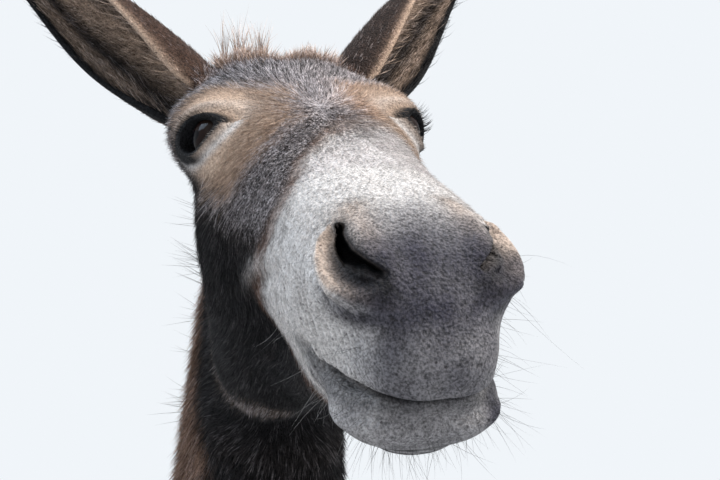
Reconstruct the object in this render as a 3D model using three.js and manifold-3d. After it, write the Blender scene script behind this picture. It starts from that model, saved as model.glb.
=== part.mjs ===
// A donkey, life size, standing with its head raised and turned a little to its right.
// Millimetres. +X is the animal's left, +Y its tail, +Z up; the origin is under the middle of its box.
// The flesh is one rounded body, out to the tips of the coat. It is melted together from balls and
// tapered limbs, then parted at flat planes into the head, neck, trunk, legs and tail.

import * as THREE from "three";
import { mergeVertices } from "three/addons/utils/BufferGeometryUtils.js";
import Module from "manifold-3d";

const wasm = await Module();
wasm.setup();

// ---------------------------------------------------------------- driving dimensions

const GAP = 0.3; // between neighbours
const FACE_DROP = 45; // degrees that the face line falls below level
const HEAD_TURN = 12; // degrees that the head turns to the animal's right
const POLL = [0, -700, 1475]; // where the skull sits on the neck
const POLL_IN_HEAD = [-165, 0, -35]; // the same point in the head's frame, whose origin is between the eyes

const FRONT_LEG_TOP = 662; // level that parts the front legs from the trunk
const HIND_LEG_TOP = 690;
const KNEE = 378;
const HOCK = 486;
const CORONET = 66; // level of the hoof's upper edge at its middle
const CORONET_SLOPE = 20; // degrees that the edge falls to the heel
const FRONT_STEP = 20; // each front leg stands this far before or behind the middle
const HIND_STEP = 30;

const EYE = { at: [-14, 66, -1], radius: 21, forward: 1.5, gaze: [0.306, 0.917, 0.255], slit: [0.725, -0.37, 0.58] };
const EAR = { root: [-139.5, 58.4, -1.8], long: 265, axis: [-0.515, 0.692, 0.505], face: [0.8, 0.6, -0.01] };

const COAT_DARK = "#3a302d";
const COAT_HEAD = "#5b504b";
const COAT_RUFOUS = "#6b4a38";
const HORN = "#4a4540";
const EYE_BROWN = "#1a1210";

// ---------------------------------------------------------------- small vector tools

const sum = (a, b) => [a[0] + b[0], a[1] + b[1], a[2] + b[2]];
const less = (a, b) => [a[0] - b[0], a[1] - b[1], a[2] - b[2]];
const times = (a, s) => [a[0] * s, a[1] * s, a[2] * s];
const dot = (a, b) => a[0] * b[0] + a[1] * b[1] + a[2] * b[2];
const cross = (a, b) => [a[1] * b[2] - a[2] * b[1], a[2] * b[0] - a[0] * b[2], a[0] * b[1] - a[1] * b[0]];
const unit = (a) => times(a, 1 / Math.hypot(...a));
const mix = (a, b, t) => a.map((v, i) => v + (b[i] - v) * t);
const radians = (degrees) => (degrees * Math.PI) / 180;
const clamp = (v, low, high) => Math.min(high, Math.max(low, v));
const softAbs = (v, round = 4) => Math.sqrt(v * v + round * round);
const steps = (count) => Array.from({ length: count + 1 }, (_, i) => i / count);

// ---------------------------------------------------------------- rounded shapes as distances

// Joins two distances with a fillet about as wide as blend.
function melt(a, b, blend) {
  const h = Math.max(blend - Math.abs(a - b), 0) / blend;
  return Math.min(a, b) - (h * h * blend) / 4;
}

// An ellipsoid, tilted in the side view by tilt degrees.
function ball(at, size, tilt = 0) {
  const c = Math.cos(radians(tilt));
  const s = Math.sin(radians(tilt));
  return (p) => {
    const [x, y, z] = less(p, at);
    const q = [x / size[0], (y * c + z * s) / size[1], (z * c - y * s) / size[2]];
    const k0 = Math.hypot(...q);
    const k1 = Math.hypot(q[0] / size[0], q[1] / size[1], q[2] / size[2]);
    return (k0 * (k0 - 1)) / Math.max(k1, 1e-9);
  };
}

// A tapered rod with round ends; wide stretches it across the animal.
function limb(a, b, ra, rb, wide = 1) {
  const from = [a[0] / wide, a[1], a[2]];
  const along = less([b[0] / wide, b[1], b[2]], from);
  const l2 = dot(along, along);
  const taper = ra - rb;
  const a2 = l2 - taper * taper;
  return (p) => {
    const q = less([p[0] / wide, p[1], p[2]], from);
    const y = dot(q, along);
    const z = y - l2;
    const side = less(times(q, l2), times(along, y));
    const x2 = dot(side, side);
    const y2 = y * y * l2;
    const z2 = z * z * l2;
    const k = Math.sign(taper) * taper * taper * x2;
    let d = (Math.sqrt((x2 * a2) / l2) + y * taper) / l2 - ra;
    if (Math.sign(z) * a2 * z2 > k) d = Math.sqrt(x2 + z2) / l2 - rb;
    else if (Math.sign(y) * a2 * y2 < k) d = Math.sqrt(x2 + y2) / l2 - ra;
    return d * Math.min(wide, 1);
  };
}

// Melts a first shape with further [shape, blend] pairs.
const fuse = (first, ...more) => (p) => more.reduce((d, [shape, blend]) => melt(d, shape(p), blend), first(p));

// ---------------------------------------------------------------- head frame

const drop = radians(FACE_DROP);
const turn = radians(HEAD_TURN);
const HEAD_X = [-Math.sin(turn) * Math.cos(drop), -Math.cos(turn) * Math.cos(drop), -Math.sin(drop)]; // to the muzzle
const HEAD_Y = [Math.cos(turn), -Math.sin(turn), 0]; // to its left
const HEAD_Z = cross(HEAD_X, HEAD_Y); // out of the forehead
const headWay = (v) => sum(sum(times(HEAD_X, v[0]), times(HEAD_Y, v[1])), times(HEAD_Z, v[2]));
const EYES = less(POLL, headWay(POLL_IN_HEAD));
const fromHead = (q) => sum(EYES, headWay(q));

function toHead(p) {
  const q = less(p, EYES);
  return [dot(q, HEAD_X), dot(q, HEAD_Y), dot(q, HEAD_Z)];
}

// ---------------------------------------------------------------- flesh

const headShape = fuse(
  ball([-95, 0, -40], [105, 78, 86]), // braincase
  [ball([-10, 15, -30], [85, 60, 66]), 50], // forehead
  [ball([-55, 68, -4], [50, 38, 37]), 30], // brow
  [limb([30, 0, -34], [215, 0, -32], 52, 38), 30], // nose ridge
  [limb([30, 25, -32], [215, 25, -30], 47, 34), 30], // nose sides
  [limb([0, 32, -75], [200, 20, -62], 51, 36), 40], // upper jaw
  [ball([-10, 40, -120], [100, 43, 100]), 30], // cheek
  [limb([-30, 26, -195], [190, 10, -105], 36, 26), 40], // lower jaw
  [limb([20, 70, -42], [110, 54, -40], 12, 8), 25], // face crest
  [ball([245, 0, -45], [50, 43, 42]), 30], // muzzle
  [ball([270, 8, -62], [34, 29, 26]), 20], // upper lip
  [ball([252, 35, -22], [30, 21, 18]), 20], // nostril wing
  [
    fuse(
      ball([254, 14, -96], [36, 34, 18]),
      [ball([235, 0, -106], [38, 28, 24]), 20],
      [limb([212, 34, -86], [245, 28, -93], 15, 14), 14],
    ),
    14,
  ], // lower lip and chin
  [ball([-130, 35, -5], [60, 38, 45]), 40], // poll and ear roots
  [ball(EYE.at, [26, 26, 25]), 12], // lids
);

function head(p) {
  const [x, y, z] = toHead(p);
  return headShape([x, softAbs(y), z]);
}

const neckShape = fuse(
  limb([0, -680, 1440], [0, -340, 1060], 48, 85, 0.8), // crest side
  [limb([0, -660, 1375], [0, -410, 990], 52, 105, 0.8), 60], // middle
  [limb([0, -648, 1295], [0, -490, 910], 42, 85, 0.85), 80], // throat side
);

const trunkShape = fuse(
  ball([0, -200, 895], [175, 340, 240], -4), // chest
  [ball([0, 80, 885], [225, 360, 232]), 100], // barrel
  [ball([0, 340, 975], [185, 250, 180], -14), 100], // croup
  [limb([0, -360, 1115], [0, 300, 1115], 36, 45, 1.3), 80], // back line
  [ball([75, -350, 900], [85, 130, 220], 18), 60], // shoulder
  [ball([60, -450, 830], [75, 90, 120]), 60], // breast
  [ball([90, 440, 900], [85, 140, 190]), 60], // rump
);

const frontLegShape = fuse(
  limb([105, -340, 760], [112, -345, 600], 85, 50), // upper arm
  [limb([112, -345, 610], [110, -345, 400], 50, 33), 30], // forearm
  [ball([110, -350, 375], [36, 37, 45]), 20], // knee
  [limb([110, -345, 350], [110, -343, 170], 24, 23), 20], // cannon
  [limb([110, -328, 340], [110, -326, 170], 14, 15), 12], // tendon
  [ball([110, -341, 155], [31, 36, 32]), 15], // fetlock
  [limb([110, -346, 150], [110, -385, 65], 26, 33), 15], // pastern
);

const hindLegShape = fuse(
  ball([105, 385, 830], [85, 150, 210], -18), // thigh
  [limb([115, 360, 740], [115, 505, 530], 85, 40), 50], // gaskin
  [limb([113, 490, 720], [115, 555, 510], 45, 18), 30], // heel tendon
  [ball([115, 535, 475], [34, 44, 55], -20), 20], // hock
  [limb([115, 535, 450], [112, 530, 180], 28, 25), 20], // cannon
  [limb([115, 557, 440], [112, 548, 180], 15, 15), 12], // tendon
  [ball([112, 536, 160], [31, 36, 32]), 15], // fetlock
  [limb([112, 530, 150], [112, 495, 65], 26, 33), 15], // pastern
);

const SIDES = [
  { name: "left", sign: 1 },
  { name: "right", sign: -1 },
];

const frontLeg = (p, sign) => frontLegShape([p[0] * sign, p[1] - FRONT_STEP * sign, p[2]]);
const hindLeg = (p, sign) => hindLegShape([p[0] * sign, p[1] + HIND_STEP * sign, p[2]]);

function flesh(p) {
  let d = melt(neckShape([softAbs(p[0]), p[1], p[2]]), trunkShape([softAbs(p[0], 10), p[1], p[2]]), 120);
  for (const { sign } of SIDES) {
    d = melt(d, frontLeg(p, sign), 30);
    d = melt(d, hindLeg(p, sign), 30);
  }
  return melt(head(p), d, 22);
}

// ---------------------------------------------------------------- closed meshes

// Points of one ring: from at, in the plane of side and up, out to where field turns positive.
function ring({ at, side, up }, count, field, reach = 420) {
  return Array.from({ length: count }, (_, i) => {
    const angle = (2 * Math.PI * i) / count;
    const way = sum(times(side, Math.cos(angle)), times(up, Math.sin(angle)));
    const stride = 3;
    let far = stride;
    while (far < reach && field(sum(at, times(way, far))) < 0) far += stride;
    let near = far - stride;
    for (let k = 0; k < 16; k += 1) {
      const half = (near + far) / 2;
      if (field(sum(at, times(way, half))) < 0) near = half;
      else far = half;
    }
    return sum(at, times(way, near));
  });
}

// One closed body through rings of equal count, ended by a fan to the first and last point given.
function skinOver(rings, first, last) {
  const count = rings[0].length;
  const points = rings.flat().concat([first, last]);
  const faces = [];
  const index = (r, i) => r * count + (i % count);
  for (let r = 0; r + 1 < rings.length; r += 1) {
    for (let i = 0; i < count; i += 1) {
      faces.push([index(r, i), index(r, i + 1), index(r + 1, i + 1)]);
      faces.push([index(r, i), index(r + 1, i + 1), index(r + 1, i)]);
    }
  }
  const end = rings.length - 1;
  for (let i = 0; i < count; i += 1) {
    faces.push([points.length - 2, index(0, i + 1), index(0, i)]);
    faces.push([points.length - 1, index(end, i), index(end, i + 1)]);
  }
  return geometryOf(points, faces);
}

// A geometry with its faces turned outwards.
function geometryOf(points, faces) {
  const volume = faces.reduce((v, [a, b, c]) => v + dot(points[a], cross(points[b], points[c])), 0);
  const geometry = new THREE.BufferGeometry();
  geometry.setAttribute("position", new THREE.Float32BufferAttribute(points.flat(), 3));
  geometry.setIndex(faces.flatMap(([a, b, c]) => (volume < 0 ? [a, c, b] : [a, b, c])));
  return geometry;
}

function solid(geometry) {
  const plain = geometry.clone();
  plain.deleteAttribute("normal");
  plain.deleteAttribute("uv");
  const merged = mergeVertices(plain, 1e-4);
  return new wasm.Manifold(
    new wasm.Mesh({
      numProp: 3,
      vertProperties: new Float32Array(merged.attributes.position.array),
      triVerts: new Uint32Array(merged.index.array),
    }),
  );
}

// The geometry of a solid's largest body, so that no loose sliver is kept.
function geometryFrom(body) {
  const largest = body.decompose().reduce((a, b) => (a.volume() > b.volume() ? a : b));
  const { vertProperties, triVerts } = largest.getMesh();
  const geometry = new THREE.BufferGeometry();
  geometry.setAttribute("position", new THREE.Float32BufferAttribute(vertProperties, 3));
  geometry.setIndex(Array.from(triVerts));
  return geometry;
}

// ---------------------------------------------------------------- ring planes

// A ring plane across the animal between a low and a high point of its outline.
function stationBetween(low, high, side = [1, 0, 0]) {
  const up = unit(less(high, low));
  return { at: mix(low, high, 0.5), side: unit(less(side, times(up, dot(side, up)))), up };
}

// Shifts a station half a gap along the animal, to its head when ahead is 1.
function shifted(station, ahead) {
  const normal = unit(cross(station.side, station.up));
  return { ...station, at: sum(station.at, times(normal, ahead * GAP * 0.5 * Math.sign(-normal[1]))) };
}

// A loft of flesh through stations, with flat ends at the first and last of them.
function flatEnded(stations, count, field) {
  return skinOver(stations.map((s) => ring(s, count, field)), stations[0].at, stations.at(-1).at);
}

// ---------------------------------------------------------------- head

const HEAD_COUNT = 30;
const FAN_POINT = [30, -262]; // in the head's frame, below the jaw: planes behind it fan about this point
const NECK_PLANE = 135.4; // degrees in the head's frame, through the throat and behind the crown
const MUZZLE_END = 303;

function fanStation(degrees, far) {
  const way = [Math.cos(radians(degrees)), 0, Math.sin(radians(degrees))];
  const at = sum([FAN_POINT[0], 0, FAN_POINT[1]], times(way, far));
  return { at: fromHead(at), side: HEAD_Y, up: headWay(way) };
}

function headStations() {
  const fan = steps(12).map((t) => fanStation(NECK_PLANE + (90 - NECK_PLANE) * t, 190 - 8 * t));
  const face = steps(14).slice(1).map((t) => {
    const x = FAN_POINT[0] + (MUZZLE_END - FAN_POINT[0] - 2) * Math.sin((t * Math.PI) / 2);
    return { at: fromHead([x, 0, -80 + 20 * Math.min(1, 1.6 * t)]), side: HEAD_Y, up: HEAD_Z };
  });
  return fan.concat(face);
}

function headLoft(field) {
  const stations = headStations();
  stations[0] = shifted(stations[0], 1);
  const rings = stations.map((s) => ring(s, HEAD_COUNT, field));
  return skinOver(rings, stations[0].at, fromHead([MUZZLE_END, 0, -60]));
}

// A unit sphere stretched and placed by three ways in the head's frame.
function headBall(at, ways, around = 12, rows = 8) {
  const shape = new THREE.SphereGeometry(1, around, rows);
  const axes = new THREE.Matrix4().makeBasis(...ways.map((w) => new THREE.Vector3(...headWay(w))));
  axes.setPosition(...fromHead(at));
  shape.applyMatrix4(axes);
  shape.deleteAttribute("normal");
  shape.deleteAttribute("uv");
  const merged = mergeVertices(shape, 1e-4);
  const places = merged.attributes.position;
  const points = Array.from({ length: places.count }, (_, i) => [places.getX(i), places.getY(i), places.getZ(i)]);
  const corners = Array.from(merged.index.array);
  return geometryOf(points, steps(corners.length / 3 - 1).map((_, i) => corners.slice(3 * i, 3 * i + 3)));
}

// The ways of an eye: along its slit, across it and out of it.
function eyeWays(sign) {
  const gaze = unit(EYE.gaze);
  const along = unit(less(EYE.slit, times(gaze, dot(EYE.slit, gaze))));
  return [along, cross(gaze, along), gaze].map((v) => [v[0], v[1] * sign, v[2]]);
}

function eyeball(sign, radius) {
  const ways = eyeWays(sign);
  const at = sum([EYE.at[0], EYE.at[1] * sign, EYE.at[2]], times(ways[2], EYE.forward));
  return headBall(at, ways.map((w) => times(w, radius)));
}

// The almond opening between the lids.
function lidOpening(sign) {
  const [along, across, gaze] = eyeWays(sign);
  const at = sum([EYE.at[0], EYE.at[1] * sign, EYE.at[2]], times(gaze, EYE.radius + 4));
  return headBall(at, [times(along, 24), times(across, 13.5), times(gaze, 30)]);
}

const nostril = (sign) => headBall([258, 42 * sign, -7], [[20, -8 * sign, -6], [5, 9 * sign, -8], [0, 6 * sign, 9]], 8, 6);

function headSolid() {
  let body = solid(headLoft(flesh));
  for (const { sign } of SIDES) {
    body = body.subtract(solid(eyeball(sign, EYE.radius + GAP)));
    body = body.subtract(solid(lidOpening(sign)));
    body = body.subtract(solid(nostril(sign)));
  }
  return geometryFrom(body);
}

// ---------------------------------------------------------------- ears

const EAR_ROWS = 11;
const EAR_ARC = 6;
const EAR_START = -0.12; // the ear's tube begins this share of its length inside the head

// The trough of an ear at t, from its root (0) to its tip (1): a bent strip that opens as it rises.
function earTrough(t) {
  const radius = 27.3 + t * (30.5 + t * (15.7 + t * (-129.9 + t * 69.1)));
  const half = 149.8 - t * (78 + t * (57 - t * 59.5));
  return { radius: Math.max(radius, 4), half: radians(half), thick: 4.5 - 2 * t };
}

function earPoint(sign, t, angle, radius) {
  const axis = unit(EAR.axis);
  const face = unit(less(EAR.face, times(axis, dot(EAR.face, axis))));
  const side = cross(axis, face);
  const out = 3.9 * Math.sin(Math.PI * clamp(t, 0, 1)) - 11.6 * t * t - radius * Math.cos(angle);
  const q = [times(axis, EAR.long * t), times(side, radius * Math.sin(angle)), times(face, out), EAR.root].reduce(sum);
  return fromHead([q[0], q[1] * sign, q[2]]);
}

// One row round the strip: its back from edge to edge, and its inside back again.
function earRow(sign, t) {
  const { radius, half, thick } = earTrough(t);
  const arc = steps(EAR_ARC).map((u) => half * (2 * u - 1));
  const edge = half + (thick * 0.8) / radius;
  return [
    ...arc.map((a) => earPoint(sign, t, a, radius + thick)),
    earPoint(sign, t, edge, radius),
    ...arc.toReversed().map((a) => earPoint(sign, t, a, Math.max(radius - thick, 1))),
    earPoint(sign, t, -edge, radius),
  ];
}

function earLoft(sign) {
  const rows = steps(EAR_ROWS).map((u) => earRow(sign, EAR_START + (0.985 - EAR_START) * Math.sin((u * Math.PI) / 2) ** 0.9));
  const count = rows[0].length;
  const points = rows.flat().concat([earPoint(sign, 1, 0, 0)]);
  const faces = [];
  const index = (r, i) => r * count + (i % count);
  for (let r = 0; r < EAR_ROWS; r += 1) {
    for (let i = 0; i < count; i += 1) {
      faces.push([index(r, i), index(r, i + 1), index(r + 1, i + 1)]);
      faces.push([index(r, i), index(r + 1, i + 1), index(r + 1, i)]);
    }
  }
  for (let i = 0; i < count; i += 1) faces.push([points.length - 1, index(EAR_ROWS, i), index(EAR_ROWS, i + 1)]);
  // The root's flat end runs as a strip between back and inside.
  const partner = (i) => (2 * EAR_ARC + 2 - i) % count;
  for (let i = 0; i < EAR_ARC; i += 1) {
    faces.push([i + 1, i, partner(i)]);
    faces.push([i + 1, partner(i), partner(i + 1)]);
  }
  faces.push([0, count - 1, partner(0)]);
  faces.push([EAR_ARC + 1, EAR_ARC, partner(EAR_ARC)]);
  return geometryOf(points, faces);
}

// ---------------------------------------------------------------- neck and trunk

const WITHERS = [0, -360, 1175];
const CHEST = [0, -600, 900];
const NECK_COUNT = 24;
const TRUNK_COUNT = 28;

function neckStations() {
  const low = fanStation(NECK_PLANE, 30).at;
  const high = fanStation(NECK_PLANE, 350).at;
  return steps(10).map((t) => stationBetween(mix(low, CHEST, t), mix(high, WITHERS, t), mix(HEAD_Y, [1, 0, 0], t)));
}

function neckLoft(field) {
  const stations = neckStations();
  stations[0] = shifted(stations[0], -1);
  stations.push(shifted(stations.pop(), 1));
  return flatEnded(stations, NECK_COUNT, field);
}

// Planes swing round the breast from the neck's end, then stand upright along the back.
function trunkStations() {
  const breast = [CHEST, [0, -605, 800], [0, -560, 705], [0, -460, 620], [0, -340, 590]];
  const swung = breast.map((low, i) => stationBetween(low, sum(WITHERS, [0, 25 * i, 0])));
  const upright = steps(16).map((t) => {
    const y = -215 + 818 * Math.sin((t * Math.PI) / 2) ** 1.15;
    return { at: [0, y, 900 + 60 * clamp(y / 500, 0, 1)], side: [1, 0, 0], up: [0, 0, 1] };
  });
  return swung.concat(upright);
}

const legTop = (y) => (y < -250 ? FRONT_LEG_TOP : HIND_LEG_TOP);
const hasLeg = (y) => y < -250 || y > 262;

function trunkLoft(field, gap = 0) {
  const stations = trunkStations();
  stations[0] = shifted(stations[0], -1);
  const parted = (p) => (hasLeg(p[1]) ? Math.max(field(p), legTop(p[1]) - gap - p[2]) : field(p));
  const rings = stations.map((s) => ring(s, TRUNK_COUNT, parted));
  const end = stations.at(-1).at;
  return skinOver(rings, stations[0].at, sum(end, [0, 4, 0]));
}

// ---------------------------------------------------------------- legs and hooves

const CORONET_WAY = [0, Math.cos(radians(CORONET_SLOPE)), -Math.sin(radians(CORONET_SLOPE))]; // to the heel

// Middle line of each leg, from the trunk down to the hoof's upper edge.
const FRONT_LINE = [[110, -345, 690], [111, -345, 600], [110, -345, 378], [110, -341, 160], [110, -384, CORONET]];
const HIND_LINE = [[112, 365, 712], [115, 450, 600], [115, 535, 486], [112, 536, 160], [112, 495, CORONET]];

function lineAt(line, level) {
  const i = clamp(line.findIndex((p) => p[2] <= level), 1, line.length - 1);
  const t = (line[i - 1][2] - level) / (line[i - 1][2] - line[i][2]);
  return mix(line[i - 1], line[i], t);
}

const LEGS = [
  { name: "front", line: FRONT_LINE, top: FRONT_LEG_TOP, joint: KNEE, step: FRONT_STEP },
  { name: "hind", line: HIND_LINE, top: HIND_LEG_TOP, joint: HOCK, step: -HIND_STEP },
];

function legStation(leg, sign, level) {
  const [x, y, z] = lineAt(leg.line, level);
  return { at: [x * sign, y + leg.step * sign, z], side: [1, 0, 0], up: [0, 1, 0] };
}

// Legs stay clear of the midline and of the belly in front of the thigh.
const legFlesh = (p) => Math.max(flesh(p), 6 - Math.abs(p[0]), p[2] > 640 && p[1] > 0 ? 264 - p[1] : -1e3);

function upperLeg(leg, sign, trunkGrown) {
  const levels = steps(8).map((t) => leg.top - 0.1 - (leg.top - leg.joint - GAP / 2 - 0.1) * t);
  const rings = levels.map((z) => ring(legStation(leg, sign, z), 15, legFlesh));
  const root = legStation(leg, sign, leg.top + 16).at;
  const inside = rings[0].map((p) => sum(mix(p, [root[0], root[1], p[2]], 0.45), [0, 0, 16]));
  const shape = skinOver([inside, ...rings], root, legStation(leg, sign, levels.at(-1)).at);
  return geometryFrom(solid(shape).subtract(trunkGrown));
}

function lowerLeg(leg, sign) {
  const last = CORONET + 26;
  const stations = steps(10).map((t) => legStation(leg, sign, leg.joint - GAP / 2 - (leg.joint - last) * t));
  stations.push({ ...legStation(leg, sign, CORONET + 12), up: unit([0, 1, -0.2]) });
  stations.push({ ...legStation(leg, sign, CORONET), up: CORONET_WAY });
  return flatEnded(stations, 12, legFlesh);
}

// A hoof from its sloping upper edge down to its flat sole, round at the toe and blunt at the heel.
function hoof(leg, sign) {
  const [x, y] = legStation(leg, sign, CORONET).at;
  const rings = [0, 0.12, 0.5, 0.94, 1].map((t) => {
    const flare = Math.min(t / 0.94, 1);
    const slope = radians(CORONET_SLOPE * (1 - t));
    const middle = [x, y - 22 * t, (CORONET - GAP) * (1 - t)];
    const trim = t === 1 ? 3 : 0;
    return steps(14).map((u) => {
      const angle = 2 * Math.PI * u;
      const heelwards = Math.sin(angle);
      const reach = heelwards < 0 ? 38 + 16 * flare : 32 + 10 * flare;
      const along = Math.sign(heelwards) * Math.abs(heelwards) ** (heelwards < 0 ? 1 : 0.8) * (reach - trim);
      const wide = Math.cos(angle) * (36 + 9 * flare - trim);
      return sum(middle, [wide, along * Math.cos(slope), -along * Math.sin(slope)]);
    });
  }).map((points) => points.slice(0, -1));
  return skinOver(rings, [x, y, CORONET - GAP], [x, y - 22, 0]);
}

// ---------------------------------------------------------------- tail, mane and forelock

// Round rings along a line of points, each with its radius, closed by a short cone at each end.
function rope(points, radii, rows, count) {
  const curve = new THREE.CatmullRomCurve3(points.map((p) => new THREE.Vector3(...p)));
  const rings = steps(rows).map((t) => {
    const at = curve.getPoint(t).toArray();
    const way = curve.getTangent(t).toArray();
    const side = [1, 0, 0];
    const up = unit(cross(way, side));
    const place = t * (radii.length - 1);
    const i = Math.min(Math.floor(place), radii.length - 2);
    const radius = radii[i] + (radii[i + 1] - radii[i]) * (place - i);
    return steps(count).slice(1).map((u) => {
      const a = 2 * Math.PI * u;
      return [at, times(side, radius * Math.cos(a)), times(up, radius * Math.sin(a))].reduce(sum);
    });
  });
  return skinOver(rings, points[0], points.at(-1));
}

const TAIL_LINE = [[0, 520, 1050], [0, 596, 1020], [0, 634, 930], [0, 648, 820], [0, 648, 720]];
const SWITCH_LINE = [[0, 648, 720 - GAP], [0, 648, 640], [0, 640, 540], [0, 634, 425]];

// The short upright mane: a thin ridge set into the crest of the neck.
function maneLoft() {
  const stations = neckStations().slice(0, 10);
  const rows = stations.map(({ at, side, up }, i) => {
    const crest = ring({ at, side: up, up: side }, 1, flesh)[0];
    const tall = 46 * Math.sin(Math.PI * (0.14 + 0.78 * (i / stations.length))) ** 0.7;
    const outline = [[-13, -14], [-13, 0], [-9, 0.6 * tall], [-4, tall], [4, tall], [9, 0.6 * tall], [13, 0], [13, -14]];
    return outline.map(([wide, high]) => [crest, times(side, wide), times(up, high)].reduce(sum));
  });
  rows[0] = rows[0].map((p) => sum(p, times(unit(less(rows[1][0], rows[0][0])), 4)));
  const middle = (row) => times(row.reduce(sum), 1 / row.length);
  return skinOver(rows, middle(rows[0]), middle(rows.at(-1)));
}

// Tufts between the ears, over a low cushion of hair.
function forelockSolid() {
  let body = solid(headBall([-158, 0, 32], [[34, 0, -6], [0, 34, 0], [3, 0, 20]], 10, 6));
  for (let i = 0; i < 8; i += 1) {
    const across = -32 + 9 * i;
    const back = -168 + 14 * Math.sin(2.4 * i);
    const tuft = new THREE.ConeGeometry(8, 40, 5).translate(0, 14, 0);
    const lean = [0.25 * Math.sin(1.7 * i) - 0.35, across / 90, 1];
    const up = new THREE.Vector3(...unit(headWay(lean)));
    tuft.applyQuaternion(new THREE.Quaternion().setFromUnitVectors(new THREE.Vector3(0, 1, 0), up));
    tuft.translate(...fromHead([back, across, 40 - Math.abs(across) / 6]));
    body = body.add(solid(tuft));
  }
  return body;
}

// ---------------------------------------------------------------- the animal

const donkey = new THREE.Group();

function addPart(name, geometry, color, roughness = 0.85) {
  const material = new THREE.MeshStandardMaterial({ color, roughness, metalness: 0 });
  const mesh = new THREE.Mesh(geometry, material);
  mesh.name = name;
  donkey.add(mesh);
}

const grown = (p) => flesh(p) - GAP; // the same flesh, a gap larger
const trunkGrown = solid(trunkLoft(grown, GAP));
const headGrown = solid(headLoft(grown));
const neckGrown = solid(neckLoft(grown));

addPart("head", headSolid(), COAT_HEAD);
addPart("neck", neckLoft(flesh), COAT_DARK);
addPart("trunk", trunkLoft(flesh), COAT_DARK);
addPart("tail", geometryFrom(solid(rope(TAIL_LINE, [34, 31, 26, 22, 19], 7, 10)).subtract(trunkGrown)), COAT_DARK);
addPart("tail_switch", rope(SWITCH_LINE, [19, 36, 33, 6], 7, 10), COAT_DARK);
addPart("mane", geometryFrom(solid(maneLoft()).subtract(neckGrown)), COAT_RUFOUS);
addPart("forelock", geometryFrom(forelockSolid().subtract(headGrown)), COAT_RUFOUS);
for (const { name, sign } of SIDES) {
  addPart(`ear_${name}`, geometryFrom(solid(earLoft(sign)).subtract(headGrown)), COAT_RUFOUS);
  addPart(`eye_${name}`, eyeball(sign, EYE.radius), EYE_BROWN, 0.1);
  for (const leg of LEGS) {
    addPart(`${leg.name}_leg_${name}`, upperLeg(leg, sign, trunkGrown), COAT_DARK);
    addPart(`${leg.name}_shank_${name}`, lowerLeg(leg, sign), COAT_DARK);
    addPart(`${leg.name}_hoof_${name}`, hoof(leg, sign), HORN, 0.6);
  }
}

// The origin goes under the middle of the whole box.
const box = new THREE.Box3().setFromObject(donkey);
const middle = box.getCenter(new THREE.Vector3());
donkey.position.set(-middle.x, -middle.y, -box.min.z);

export default donkey;
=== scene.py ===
"""A life-size donkey: its skin, coat, eyes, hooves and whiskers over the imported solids."""

import math

import bmesh
import bpy
import numpy as np
from bpy.props import FloatProperty, FloatVectorProperty, IntProperty, PointerProperty
from mathutils import Matrix, Vector


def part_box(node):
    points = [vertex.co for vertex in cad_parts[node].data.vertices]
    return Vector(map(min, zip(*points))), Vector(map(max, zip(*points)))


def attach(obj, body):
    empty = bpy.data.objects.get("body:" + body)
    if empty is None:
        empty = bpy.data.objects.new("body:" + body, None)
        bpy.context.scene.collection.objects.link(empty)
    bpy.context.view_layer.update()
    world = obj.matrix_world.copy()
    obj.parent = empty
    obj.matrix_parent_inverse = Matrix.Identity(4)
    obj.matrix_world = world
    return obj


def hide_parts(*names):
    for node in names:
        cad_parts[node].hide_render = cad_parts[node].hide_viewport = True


bl_info = {
    "name": "Standing donkey",
    "version": (1, 0, 0),
    "blender": (4, 5, 0),
    "location": "3D View > Sidebar > Donkey",
    "description": "Skin, coat, eyes, hooves and whiskers of a life-size donkey",
    "category": "Object",
}

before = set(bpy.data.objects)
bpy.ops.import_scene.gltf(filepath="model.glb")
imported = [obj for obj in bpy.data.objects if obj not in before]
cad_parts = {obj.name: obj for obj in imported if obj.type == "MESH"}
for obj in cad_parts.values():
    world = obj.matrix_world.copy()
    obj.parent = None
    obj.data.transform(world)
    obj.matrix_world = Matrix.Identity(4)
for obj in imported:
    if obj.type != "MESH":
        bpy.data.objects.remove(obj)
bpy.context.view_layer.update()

# ---------------- sizes, in metres and degrees
# The donkey is designed facing -Y with its left to +X, standing on z = 0, and moved to the frame at the end.

FACE_DROP = 45.0  # the face's line below level
HEAD_TURN = 12.0  # the head turned to its right
POLL = (0.0, -0.700, 1.475)  # where the skull meets the neck
POLL_IN_HEAD = (-0.165, 0.0, -0.035)
FRONT_STEP = 0.02  # left front foot behind the right one, half and half
HIND_STEP = 0.03
HOOF_TOE = -0.4387  # how far forward the left front hoof reaches in the design
CORONET = 0.066  # height of a hoof's upper edge
CORONET_SLOPE = 20.0

EYE_AT = (-0.014, 0.066, -0.001)  # middle of the left eye in the head's frame
EYE_RADIUS = 0.021
EYE_FORWARD = 0.0015
EYE_GAZE = (0.306, 0.917, 0.255)
EYE_SLIT = (0.725, -0.37, 0.58)

EAR_ROOT = (-0.1395, 0.0584, -0.0018)
EAR_LONG = 0.265
EAR_AXIS = (-0.515, 0.692, 0.505)
EAR_FACE = (0.80, 0.60, -0.01)


def unit(v):
    """A vector of length one along v."""
    v = np.asarray(v, float)
    return v / np.linalg.norm(v)


def square(v, axis):
    """v turned square to a unit axis, of length one."""
    v = np.asarray(v, float)
    return unit(v - axis * (v @ axis))


_drop = math.radians(FACE_DROP)
_turn = math.radians(HEAD_TURN)
HEAD_X = np.array((-math.sin(_turn) * math.cos(_drop), -math.cos(_turn) * math.cos(_drop), -math.sin(_drop)))
HEAD_Y = np.array((math.cos(_turn), -math.sin(_turn), 0.0))
HEAD_Z = np.cross(HEAD_X, HEAD_Y)
HEAD = np.stack((HEAD_X, HEAD_Y, HEAD_Z))  # rows: to the muzzle, to its left, out of the forehead
HEAD_AT = np.array(POLL) - np.array(POLL_IN_HEAD) @ HEAD

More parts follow.
